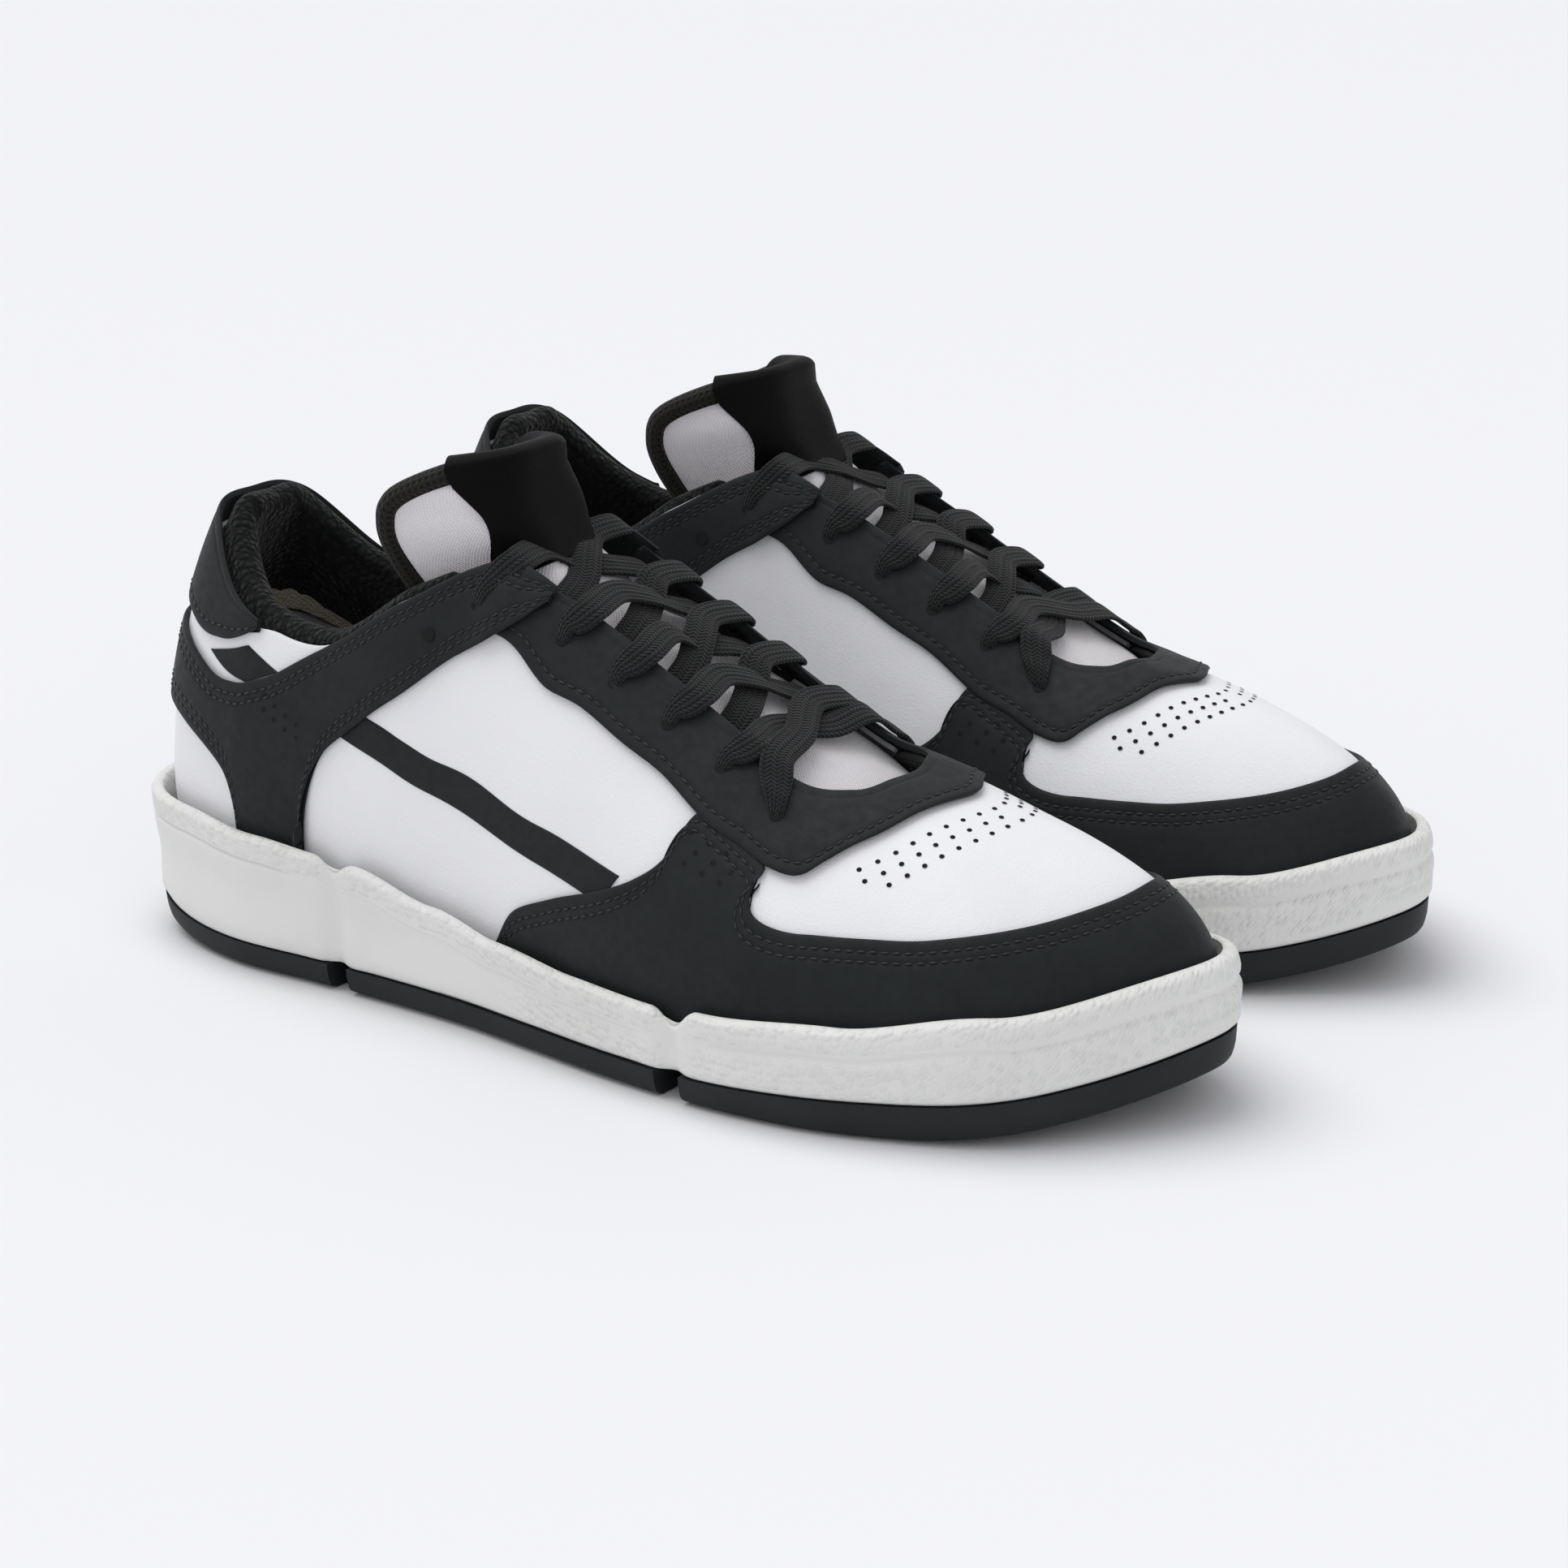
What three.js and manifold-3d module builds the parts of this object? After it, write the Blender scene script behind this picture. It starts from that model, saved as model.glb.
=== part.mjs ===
// A pair of low-top court shoes, right and left, standing side by side.
// Units are millimetres. X runs from heel to toe, Y across the pair, Z up.
// The origin is on the floor, midway between the two shoes.
//
// Each shoe is built round one surface, the outside of its white leather. Ribs stand round the
// foot outline, each a curve from the sole up to the opening, and a place on the surface is
// (k, v): k counts ribs round the shoe from the heel by the outer side, the toe and the inner
// side, and v goes from 0 at the sole to 1 at the opening. Leather, lining and stiffeners are
// shells at set distances from that surface.
import * as THREE from 'three';
import Module from 'manifold-3d';
import { mergeVertices } from 'three/addons/utils/BufferGeometryUtils.js';

const wasm = await Module();
wasm.setup();

// ---- driving dimensions ----------------------------------------------------------------
const SHOE_LENGTH = 299;        // heel wall to toe wall, outside the sole
const WIDTH_SCALE = 1;          // widens or narrows each shoe about its centre line
const PAIR_SPACING = 115.8;     // between the two centre lines at mid length
const TOE_OUT = 1.2;            // degrees that each shoe points outwards
const HEIGHT_SCALE = 1;         // raises or lowers the upper above the sole

const OUTSOLE_THICK = 7;        // black rubber under heel and arch
const FOREFOOT_THICK = 9.2;     // black rubber under the ball and toe
const TOE_SPRING = 13;          // how far the toe end of the sole turns up
const HEEL_RISE = 6;            // how far the heel end of the sole turns up
const SOLE_WALL = 3.4;          // thickness of the cup's side wall
const CUP_FLOOR = 3;            // thickness of the cup's bottom
const HEEL_STACK = 22;          // height of the foot above the floor at the heel
const BALL_STACK = 15;          // the same under the ball of the foot
const BOARD_THICK = 1.2;
const FOOTBED_THICK = 4;
const NOTCH_DEPTH = 2.2;        // upright recesses in the cup's wall

const LEATHER = 1.2;            // white leather, inwards from the surface
const OVERLAY = 1.1;            // black leather, on top of it
const LAYER_GAP = 0.8;          // between layers that lie on each other
const STIFFENER = 0.8;
const LINING = 0.8;
const TOUCH_GAP = 0.35;         // between pieces that meet edge to edge
const COLLAR_ROLL = 3.7;        // radius of the padded top edge
const COLLAR_SKIN = 0.8;
const LACE_WIDTH = 8;
const LACE_THICK = 1.3;
const LACE_BUNCH = 3.6;         // width of the lace inside an eyelet
const EYELET_RADIUS = 3.1;
const TONGUE_SKIN = 0.9;
const TONGUE_FOAM = 4.2;
const BINDING_RADIUS = 3;
const LABEL_THICK = 0.5;
const STEP = 0.34;              // rib fraction between the columns of a panel's mesh

// ---- the shoe's surface -----------------------------------------------------------------
// foot: x, outer y, inner y on the sole line.  top: x, outer y, inner y, outer z, inner z on
// the opening.  rise and lean: the curve's handles at its foot and at its top.
const RIBS = [
  { foot: [7, 0, 0], top: [25, 0, 0, 112, 112], rise: [-5, 0, 31], lean: [-16, 0, -27] },
  { foot: [16, -22, 21], top: [28, -15, 15, 109.5, 109.5], rise: [-3, -5, 28], lean: [-8, -8, -25] },
  { foot: [44, -33.5, 32], top: [45, -28, 28, 91, 91], rise: [-1, -3, 24], lean: [-1, -5, -20] },
  { foot: [72, -35, 31.5], top: [71, -31, 31, 85.5, 86], rise: [0, -3, 22], lean: [0, -4.5, -18] },
  { foot: [98, -36.5, 29.5], top: [95, -29.5, 30, 99.5, 100], rise: [0, -4, 25], lean: [0, -6, -18] },
  { foot: [122, -39, 30.5], top: [117, -19, 19, 109.5, 110], rise: [0, -4.5, 32], lean: [1, -14, -14] },
  { foot: [146, -43.5, 34.5], top: [138, -17, 17, 101, 102], rise: [0, -4, 32], lean: [2, -16, -12] },
  { foot: [174, -48.5, 40.5], top: [166, -17, 16, 86.5, 88], rise: [1, -4, 26], lean: [3, -17, -11] },
  { foot: [206, -51, 45.5], top: [196, -17, 15, 70, 72], rise: [1, -3.5, 22], lean: [6, -18, -8] },
  { foot: [236, -46.5, 45], top: [209, -12, 13, 67, 69], rise: [2, -4, 21], lean: [18, -14, -6] },
  { foot: [268, -30.5, 34], top: [214, -5, 8, 67.5, 69], rise: [4, -5, 22.5], lean: [28, -8, -4] },
  { foot: [292, 8, 8], top: [215, 2, 2, 68, 68], rise: [3, 0, 27], lean: [38, 2, -5] },
];
const TOE = RIBS.length - 1;
const LOOP = 2 * TOE;
const LENGTH_SCALE = SHOE_LENGTH / 299;
const UPPER_BASE = 20;          // the upper grows and shrinks above this level
const INNER_LINING = -LEATHER - STIFFENER - 2.3 * LAYER_GAP;   // the lining's outer face
const WALL_IN = OVERLAY + 2.2 * LAYER_GAP;
const WALL_OUT = WALL_IN + SOLE_WALL;
const BOARD_INSET = INNER_LINING - LINING - 2 * LAYER_GAP;

const clamp01 = (t) => Math.min(1, Math.max(0, t));
const mix = (a, b, t) => a + (b - a) * t;
const smooth = (a, b, t) => {
  const s = clamp01((t - a) / (b - a));
  return s * s * (3 - 2 * s);
};
// A smooth line through hand-placed points, read at a fraction of its run.
function splineAt(points, t) {
  const last = points.length - 1;
  const place = clamp01(t) * last;
  const i = Math.min(last - 1, Math.floor(place));
  const f = place - i;
  const [a, b, c, d] = [-1, 0, 1, 2].map((j) => points[Math.min(last, Math.max(0, i + j))]);
  return b.map((_, n) => catmull(a[n], b[n], c[n], d[n], f));
}
function catmull(a, b, c, d, f) {
  const slope = c - a;
  const curve = 2 * a - 5 * b + 4 * c - d;
  const twist = 3 * (b - c) + d - a;
  return b + 0.5 * f * (slope + f * (curve + f * twist));
}
const tall = (z) => UPPER_BASE + (z - UPPER_BASE) * HEIGHT_SCALE;
// A height given at a few places along the shoe.
function along(table, x) {
  const i = table.findIndex(([at]) => at > x);
  if (i === 0) return table[0][1];
  if (i < 0) return table[table.length - 1][1];
  const [[x0, h0], [x1, h1]] = [table[i - 1], table[i]];
  return mix(h0, h1, smooth(x0, x1, x));
}

// Levels of the sole, from the floor up, at a place x along the shoe.
const share = (x) => x / LENGTH_SCALE;
const groundAt = (x) => TOE_SPRING * clamp01((share(x) - 235) / 63) ** 2.4
  + HEEL_RISE * clamp01((40 - share(x)) / 38) ** 2;
const rubberTop = (x) => groundAt(x)
  + mix(OUTSOLE_THICK, FOREFOOT_THICK, smooth(190, 250, share(x)));
const footLevel = (x) => mix(HEEL_STACK, BALL_STACK, smooth(50, 200, share(x)))
  + groundAt(x) * smooth(150, 240, share(x));
const RIM = [[0, 38], [30, 37.5], [55, 35.5], [74, 34.2], [80, 31], [87, 33.6], [112, 28.5],
  [134, 24.6], [160, 22.6], [184, 21.8], [190, 18.6], [197, 23], [230, 25.4], [262, 30], [299, 37.5]];
const rimAt = (x) => along(RIM, share(x));
const NOTCHES = [80, 190];      // where the recesses stand, from the heel
const NOTCH_HALF = 3.2;
const notchAt = (x) => NOTCHES.reduce((sum, at) => sum
  + NOTCH_DEPTH * Math.exp(-(((share(x) - at) / NOTCH_HALF) ** 2)), 0);

function ribHandles(station) {
  const k = ((station % LOOP) + LOOP) % LOOP;
  const inner = k > TOE;
  const rib = RIBS[inner ? LOOP - k : k];
  const side = inner ? 2 : 1;
  const turn = inner ? -1 : 1;
  const scaled = (x, y, z) => [x * LENGTH_SCALE, y * WIDTH_SCALE, z];
  const foot = scaled(rib.foot[0], rib.foot[side], footLevel(rib.foot[0] * LENGTH_SCALE));
  const top = scaled(rib.top[0], rib.top[side], tall(rib.top[side + 2]));
  const rise = scaled(rib.rise[0], rib.rise[1] * turn, rib.rise[2] * HEIGHT_SCALE);
  const lean = scaled(rib.lean[0], rib.lean[1] * turn, rib.lean[2] * HEIGHT_SCALE);
  return [foot, foot.map((c, n) => c + rise[n]), top.map((c, n) => c + lean[n]), top];
}
const HANDLES = Array.from({ length: LOOP }, (_, k) => ribHandles(k));

function surfaceAt(k, v) {
  const i = Math.floor(k);
  const ribs = [-1, 0, 1, 2].map((j) => HANDLES[(((i + j) % LOOP) + LOOP) % LOOP]);
  const weights = [(1 - v) ** 3, 3 * (1 - v) ** 2 * v, 3 * (1 - v) * v * v, v ** 3];
  const point = [0, 1, 2].map((axis) => weights.reduce((sum, weight, handle) => sum
    + weight * catmull(...ribs.map((rib) => rib[handle][axis]), k - i), 0));
  return new THREE.Vector3(...point);
}
function normalAt(k, v) {
  const e = 0.02;
  const low = Math.max(0, v - e);
  const high = Math.min(1, v + e);
  const round = surfaceAt(k + e, v).sub(surfaceAt(k - e, v));
  const up = surfaceAt(k, high).sub(surfaceAt(k, low));
  return round.cross(up).normalize();
}
// A place on a shell: rib k, height v, distance out from the surface.
const onUpper = (k, v, out) => surfaceAt(k, v).addScaledVector(normalAt(k, v), out);

// The outline of the upper at a level z, pushed outwards by a distance in plan. Below the foot
// line it is the foot line's own outline.
function outlineAt(k, z, out) {
  let low = 0;
  let high = 0.5;
  for (let i = 0; i < 12; i += 1) {
    const middle = (low + high) / 2;
    if (surfaceAt(k, middle).z < z) low = middle;
    else high = middle;
  }
  const e = 0.02;
  const run = surfaceAt(k + e, low).sub(surfaceAt(k - e, low)).setZ(0).normalize();
  const { x, y } = surfaceAt(k, low);
  return [x + run.y * out, y - run.x * out];
}

// ---- turning points into solids ----------------------------------------------------------
function solidOf(points, triangles) {
  let volume = 0;
  for (const [a, b, c] of triangles) {
    volume += points[a].clone().cross(points[b]).dot(points[c]);
  }
  const faces = volume < 0 ? triangles.map(([a, b, c]) => [a, c, b]) : triangles;
  const numbers = points.flatMap((p) => p.toArray());
  const geometry = new THREE.BufferGeometry();
  geometry.setAttribute('position', new THREE.Float32BufferAttribute(numbers, 3));
  geometry.setIndex(faces.flat());
  return geometry;
}
const quad = (a, b, c, d) => [[a, b, c], [a, c, d]];

// A sheet with thickness: columns of rows, once on its outer face and once on its inner face.
function shell(columns, rows, place, inner, outer, closed = false) {
  const points = [];
  for (const out of [outer, inner]) {
    for (const column of columns) {
      for (let r = 0; r <= rows; r += 1) points.push(place(...column(r / rows), out));
    }
  }
  const high = rows + 1;
  const face = columns.length * high;
  const at = (c, r, side) => side * face + (c % columns.length) * high + r;
  const spans = closed ? columns.length : columns.length - 1;
  const triangles = [];
  for (let c = 0; c < spans; c += 1) {
    for (let r = 0; r < rows; r += 1) {
      triangles.push(...quad(at(c, r, 0), at(c + 1, r, 0), at(c + 1, r + 1, 0), at(c, r + 1, 0)));
      triangles.push(...quad(at(c, r, 1), at(c, r + 1, 1), at(c + 1, r + 1, 1), at(c + 1, r, 1)));
    }
    triangles.push(...quad(at(c, 0, 0), at(c, 0, 1), at(c + 1, 0, 1), at(c + 1, 0, 0)));
    triangles.push(...quad(at(c, rows, 0), at(c + 1, rows, 0), at(c + 1, rows, 1), at(c, rows, 1)));
  }
  if (!closed) {
    const end = columns.length - 1;
    for (let r = 0; r < rows; r += 1) {
      triangles.push(...quad(at(0, r, 0), at(0, r + 1, 0), at(0, r + 1, 1), at(0, r, 1)));
      triangles.push(...quad(at(end, r, 0), at(end, r, 1), at(end, r + 1, 1), at(end, r + 1, 0)));
    }
  }
  return solidOf(points, triangles);
}
// Columns between two ribs, from one height to another.
function between(k0, k1, low, high, step = STEP) {
  const count = Math.ceil((k1 - k0) / step);
  return Array.from({ length: count + 1 }, (_, i) => {
    const k = mix(k0, k1, i / count);
    return (r) => [k, mix(low(k), high(k), r)];
  });
}
// Columns along a ladder: each rung is a lower and an upper place on the surface.
function ladder(rungs, perSpan) {
  const count = (rungs.length - 1) * perSpan;
  return Array.from({ length: count + 1 }, (_, i) => {
    const [k0, v0, k1, v1] = splineAt(rungs, i / count);
    return (r) => [mix(k0, k1, r), mix(v0, v1, r)];
  });
}
const flipSide = (rungs) => rungs.map(([k0, v0, k1, v1]) => [LOOP - k0, v0, LOOP - k1, v1]);
const roundToe = (rungs) => [...rungs, ...flipSide(rungs).reverse().slice(1)];
const roundHeel = (rungs) => [
  ...rungs.map(([k0, v0, k1, v1]) => [-k0, v0, -k1, v1]).reverse(),
  ...rungs.slice(1),
];

// A stack of outlines with a flat cap under the first and over the last.
function stack(stations, rings) {
  const count = stations.length;
  const points = [];
  for (const { out, z } of rings) {
    for (const k of stations) {
      const foot = surfaceAt(k, 0).x;
      const [x, y] = outlineAt(k, z(foot), typeof out === 'function' ? out(foot) : out);
      points.push(new THREE.Vector3(x, y, z(x)));
    }
  }
  const triangles = [];
  for (let ring = 0; ring < rings.length - 1; ring += 1) {
    for (let i = 0; i < count; i += 1) {
      const next = (i + 1) % count;
      const low = ring * count;
      const high = low + count;
      triangles.push(...quad(low + i, low + next, high + next, high + i));
    }
  }
  triangles.push(...endCaps(count, rings.length));
  return solidOf(points, triangles);
}
// Closes the first and the last of a row of loops by joining the points that face each other.
function endCaps(size, loops) {
  const last = (loops - 1) * size;
  const triangles = [];
  for (let i = 0; i < size / 2 - 1; i += 1) {
    const [a, b, c, d] = [i, i + 1, size - 2 - i, size - 1 - i];
    const cap = b === c ? [[a, b, d]] : quad(a, b, c, d);
    for (const [p, q, r] of cap) {
      triangles.push([p, r, q], [last + p, last + q, last + r]);
    }
  }
  return triangles;
}
// Stations for an outline: out along one side and back along the other.
function stations(k0, k1, count) {
  const side = Array.from({ length: count + 1 }, (_, i) => mix(k0, k1, i / count));
  return [...side, ...side.map((k) => LOOP - k).reverse()];
}

// A closed section carried along stations, with closed ends.
function sweep(sections) {
  const size = sections[0].length;
  const points = sections.flat();
  const triangles = [];
  for (let s = 0; s < sections.length - 1; s += 1) {
    for (let i = 0; i < size; i += 1) {
      const next = (i + 1) % size;
      const [here, there] = [s * size, (s + 1) * size];
      triangles.push(...quad(here + i, here + next, there + next, there + i));
    }
  }
  triangles.push(...endCaps(size, sections.length));
  return solidOf(points, triangles);
}

function toManifold(geometry) {
  const bare = geometry.clone();
  bare.deleteAttribute('normal');
  bare.deleteAttribute('uv');
  const merged = mergeVertices(bare, 1e-4);
  return new wasm.Manifold(new wasm.Mesh({
    numProp: 3,
    vertProperties: merged.attributes.position.array,
    triVerts: Uint32Array.from(merged.index.array),
  }));
}
function fromManifold(solid) {
  const mesh = solid.getMesh();
  const geometry = new THREE.BufferGeometry();
  geometry.setAttribute('position', new THREE.BufferAttribute(mesh.vertProperties, 3));
  geometry.setIndex(new THREE.BufferAttribute(mesh.triVerts, 1));
  return geometry;
}

// ---- the sole ------------------------------------------------------------------------------
const BED_FROM = 0.02;
const wallOut = (depth) => (x) => WALL_OUT - depth - notchAt(x);

function outsolePad(k0, k1, count) {
  return stack(stations(k0, k1, count), [
    { out: WALL_OUT - 4.2, z: groundAt },
    { out: WALL_OUT - 1.2, z: (x) => groundAt(x) + 3.2 },
    { out: WALL_OUT - 0.6, z: (x) => rubberTop(x) - TOUCH_GAP },
  ]);
}
function cupsole() {
  const wall = (part) => (x) => mix(rubberTop(x), rimAt(x), part);
  return stack(stations(0, TOE, 34), [
    { out: wallOut(1.4), z: rubberTop },
    { out: wallOut(0.3), z: wall(0.12) },
    { out: wallOut(0), z: wall(0.6) },
    { out: wallOut(0.3), z: wall(0.9) },
    { out: WALL_IN + 0.9, z: rimAt },
    { out: WALL_IN, z: wall(0.93) },
    { out: WALL_IN, z: (x) => rubberTop(x) + CUP_FLOOR },
  ]);
}
function midsoleFoam() {
  return stack(stations(0, TOE, 20), [
    { out: WALL_IN - 2 * LAYER_GAP, z: (x) => rubberTop(x) + CUP_FLOOR + TOUCH_GAP },
    { out: WALL_IN - 2 * LAYER_GAP, z: (x) => footLevel(x) - TOUCH_GAP },
  ]);
}
function board() {
  return stack(stations(0, TOE, 20), [
    { out: BOARD_INSET, z: (x) => footLevel(x) },
    { out: BOARD_INSET, z: (x) => footLevel(x) + BOARD_THICK },
  ]);
}
function footbed() {
  const base = (x) => footLevel(x) + BOARD_THICK + TOUCH_GAP;
  return stack(stations(0, TOE, 20), [
    { out: BOARD_INSET, z: base },
    { out: BOARD_INSET, z: (x) => base(x) + FOOTBED_THICK * 0.7 },
    { out: BOARD_INSET - 2, z: (x) => base(x) + FOOTBED_THICK },
  ]);
}

// ---- the upper -----------------------------------------------------------------------------
const EYE_LIMIT = 0.74;         // leather and lining stop below the eyelets, under the eyestay
const quarterTop = (k) => mix(0.97, EYE_LIMIT, smooth(4.3, 4.7, k > TOE ? LOOP - k : k));
const vampTop = (k) => mix(EYE_LIMIT, 0.86, smooth(8.4, 9.2, k > TOE ? LOOP - k : k));
const VAMP_FROM = 7.98;

// Each rung of a panel is [k, v] on its lower edge and [k, v] on its upper edge.
const mudguardRungs = [
  [5.34, 0.02, 5.36, 0.05], [5.6, 0.02, 5.62, 0.14], [6.1, 0.02, 6.1, 0.21], [6.6, 0.02, 6.6, 0.29],
  [6.95, 0.02, 7.0, 0.38], [7.12, 0.02, 7.25, 0.48], [7.25, 0.02, 7.46, 0.615],
  [7.55, 0.02, 7.75, 0.605], [7.8, 0.02, 7.99, 0.565], [7.88, 0.02, 7.93, 0.5],
  [8.0, 0.02, 7.9, 0.43], [8.2, 0.02, 8.15, 0.415],
  [8.6, 0.02, 8.6, 0.425], [9, 0.02, 9, 0.425], [9.35, 0.02, 9.35, 0.42], [9.7, 0.02, 9.7, 0.42],
  [10.03, 0.02, 10.03, 0.415], [10.36, 0.02, 10.36, 0.405], [10.68, 0.02, 10.68, 0.4],
  [11, 0.02, 11, 0.405],
];
const eyestayRungs = [
  [5.28, 0.743, 6.09, 0.985], [5.5, 0.72, 6.16, 0.985], [5.9, 0.7, 6.36, 0.985],
  [6.3, 0.692, 6.6, 0.985],
  [6.7, 0.695, 6.95, 0.985], [7.1, 0.672, 7.3, 0.985], [7.5, 0.645, 7.65, 0.98], [7.8, 0.63, 8, 0.96],
  [8.1, 0.6, 8.3, 0.935], [8.36, 0.6, 8.65, 0.915], [8.6, 0.66, 8.95, 0.905], [8.9, 0.725, 9.3, 0.9],
  [9.35, 0.785, 9.7, 0.905], [9.85, 0.83, 10.1, 0.91], [10.45, 0.845, 10.55, 0.915], [11, 0.845, 11, 0.915],
];
const strapRungs = [
  [0, 0.43, 0, 0.65], [0.36, 0.43, 0.36, 0.65], [0.7, 0.43, 0.7, 0.65], [1.02, 0.43, 1.04, 0.65],
  [1.34, 0.425, 1.4, 0.648], [1.7, 0.4, 1.74, 0.655],
  [1.94, 0.35, 1.96, 0.683], [2.06, 0.25, 2.1, 0.705], [2.1, 0.12, 2.2, 0.73], [2.12, 0.02, 2.32, 0.76],
  [2.45, 0.02, 2.5, 0.81], [2.8, 0.02, 2.7, 0.875], [2.81, 0.14, 2.84, 0.915], [2.83, 0.28, 2.98, 0.945],
  [2.9, 0.4, 3.14, 0.965], [3.02, 0.5, 3.3, 0.97], [3.22, 0.575, 3.5, 0.967], [3.6, 0.622, 3.8, 0.963],
  [4.05, 0.652, 4.2, 0.963], [4.6, 0.685, 4.7, 0.963], [5.08, 0.718, 5.2, 0.97], [5.46, 0.8, 5.55, 0.975],
  [5.72, 0.905, 5.76, 0.975],
];
const heelTabRungs = [
  [0, 0.71, 0, 0.985], [0.7, 0.71, 0.7, 0.985], [1.36, 0.715, 1.32, 0.985], [1.72, 0.775, 1.66, 0.985],
  [2.02, 0.86, 1.96, 0.985], [2.26, 0.945, 2.26, 0.985],
];
const heelStripeRungs = [[1.56, 0.722, 2.12, 0.865], [1.82, 0.718, 2.3, 0.852], [2.12, 0.73, 2.52, 0.838]];
const sideStripeRungs = [
  [3.42, 0.573, 3.72, 0.608], [4, 0.447, 4.15, 0.52], [4.4, 0.38, 4.55, 0.447], [4.95, 0.318, 5.1, 0.395],
  [5.5, 0.288, 5.65, 0.366], [6.1, 0.276, 6.25, 0.366], [6.38, 0.28, 6.78, 0.367],
];

const onTop = [LAYER_GAP, LAYER_GAP + OVERLAY];
function panel(rungs, perSpan, rows, thick = onTop[1]) {
  return shell(ladder(rungs, perSpan), rows, onUpper, onTop[0], thick);
}
function whiteLeather(k0, k1, rows, high) {
  return shell(between(k0, k1, () => BED_FROM, high), rows, onUpper, -LEATHER, 0);
}
function stiffener(k0, k1, height) {
  const outer = -LEATHER - LAYER_GAP;
  const columns = between(k0, k1, () => BED_FROM, () => height);
  return shell(columns, 2, onUpper, outer - STIFFENER, outer);
}
// The textile lining runs all the way round, under the collar's padding at the back.
const COLLAR_ENDS = 4.55;
const collarDepthV = (side) => mix(0.6, 0.93, smooth(2.8, 4.7, side));
function textileLining() {
  const top = (k) => {
    const side = k > TOE ? LOOP - k : k;
    const underCollar = Math.min(collarDepthV(side) - 0.04, EYE_LIMIT);
    const underStay = mix(EYE_LIMIT, 0.8, smooth(8.5, 9.5, side));
    return mix(underCollar, underStay, smooth(5, 6, side));
  };
  const columns = between(0, LOOP, () => BED_FROM, top, 0.34).slice(0, -1);
  return shell(columns, 2, onUpper, INNER_LINING - LINING, INNER_LINING, true);
}

// The collar's padded edge: s is the height above the leather's edge, w the distance inwards.
const COLLAR_BASE_V = 0.975;
const FRONT_ROLL = 2.3;         // radius of the roll where it ends beside the tongue
const ROLL_LIFT = 0.6;          // the roll's centre above the leather's edge
function collarPlace(k, s, w) {
  const base = surfaceAt(k, COLLAR_BASE_V);
  if (s > 0) {
    const up = base.clone().sub(surfaceAt(k, COLLAR_BASE_V - 0.06)).normalize();
    return base.addScaledVector(up, s).addScaledVector(normalAt(k, COLLAR_BASE_V), -w);
  }
  const run = base.distanceTo(surfaceAt(k, COLLAR_BASE_V - 0.1)) / 0.1;
  const v = COLLAR_BASE_V + s / run;
  return onUpper(k, v, -w);
}
function collarSection(k, inset) {
  const side = Math.abs(k);
  const run = surfaceAt(k, COLLAR_BASE_V).distanceTo(surfaceAt(k, collarDepthV(side)));
  const roll = mix(COLLAR_ROLL, FRONT_ROLL, smooth(3.8, 4.7, side));
  const radius = roll - inset;
  const near = LEATHER + LAYER_GAP;
  const face = near + inset;
  const depth = run - (inset > COLLAR_SKIN ? 2 : 0);
  const section = [[-depth, face], [-depth * 0.5, face], [0, face]];
  for (let i = 0; i <= 4; i += 1) {
    const turn = (Math.PI * i) / 4;
    section.push([ROLL_LIFT + radius * Math.sin(turn), face + radius - radius * Math.cos(turn)]);
  }
  section.push([-depth * 0.5, near + roll * 1.9 - inset], [-depth, near + roll * 1.5 - inset]);
  return section;
}
function collarSweep(makeSection) {
  const ks = Array.from({ length: 29 }, (_, i) => mix(-COLLAR_ENDS, COLLAR_ENDS, i / 28));
  return sweep(ks.map((k) => makeSection(k).map(([s, w]) => collarPlace(k, s, w))));
}
const collarSkin = () => collarSweep((k) => [
  ...collarSection(k, 0),
  ...collarSection(k, COLLAR_SKIN).reverse(),
]);
const collarFoam = () => collarSweep((k) => collarSection(k, COLLAR_SKIN + LAYER_GAP));

// ---- the tongue ----------------------------------------------------------------------------
// Each row is a place up the tongue: x and z on its centre line, half the room it has across,
// how far its edges fall below the centre, and how far they sweep back.
const TONGUE_ROWS = [
  [222, 56, 28.4, 6, 0], [206, 62, 31.4, 8, 0], [186, 71, 35.4, 11, 0], [164, 82, 36.4, 13, 0],
  [146, 91.5, 36.4, 14, 1], [132, 101, 31.4, 13, 8], [122, 110, 28.4, 11.5, 18],
  [116, 119.5, 32.4, 9, 22], [112, 128, 29.4, 3, 15],
];
const TONGUE_MARGIN = 2 * COLLAR_ROLL + 4;   // left free on each side for the roll and binding
const tongueHalf = (a) => splineAt(TONGUE_ROWS, a)[2] * WIDTH_SCALE - TONGUE_MARGIN;
function tongueAt(a, b, out) {
  const flat = (u, w) => {
    const [x, z, , fall, back] = splineAt(TONGUE_ROWS, u);
    return new THREE.Vector3(
      (x - back * w * w) * LENGTH_SCALE,
      tongueHalf(u) * w,
      tall(z - fall * w * w),
    );
  };
  const e = 0.01;
  const up = flat(Math.min(1, a + e), b).sub(flat(Math.max(0, a - e), b));
  const across = flat(a, b + e).sub(flat(a, b - e));
  return flat(a, b).addScaledVector(across.cross(up).normalize(), out);
}
function tongueSheet(outer, thick) {
  const columns = Array.from({ length: 11 }, (_, i) => (r) => [mix(0.02, 0.985, i / 10), mix(-1, 1, r)]);
  return shell(columns, 6, tongueAt, outer - thick, outer);
}
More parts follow.
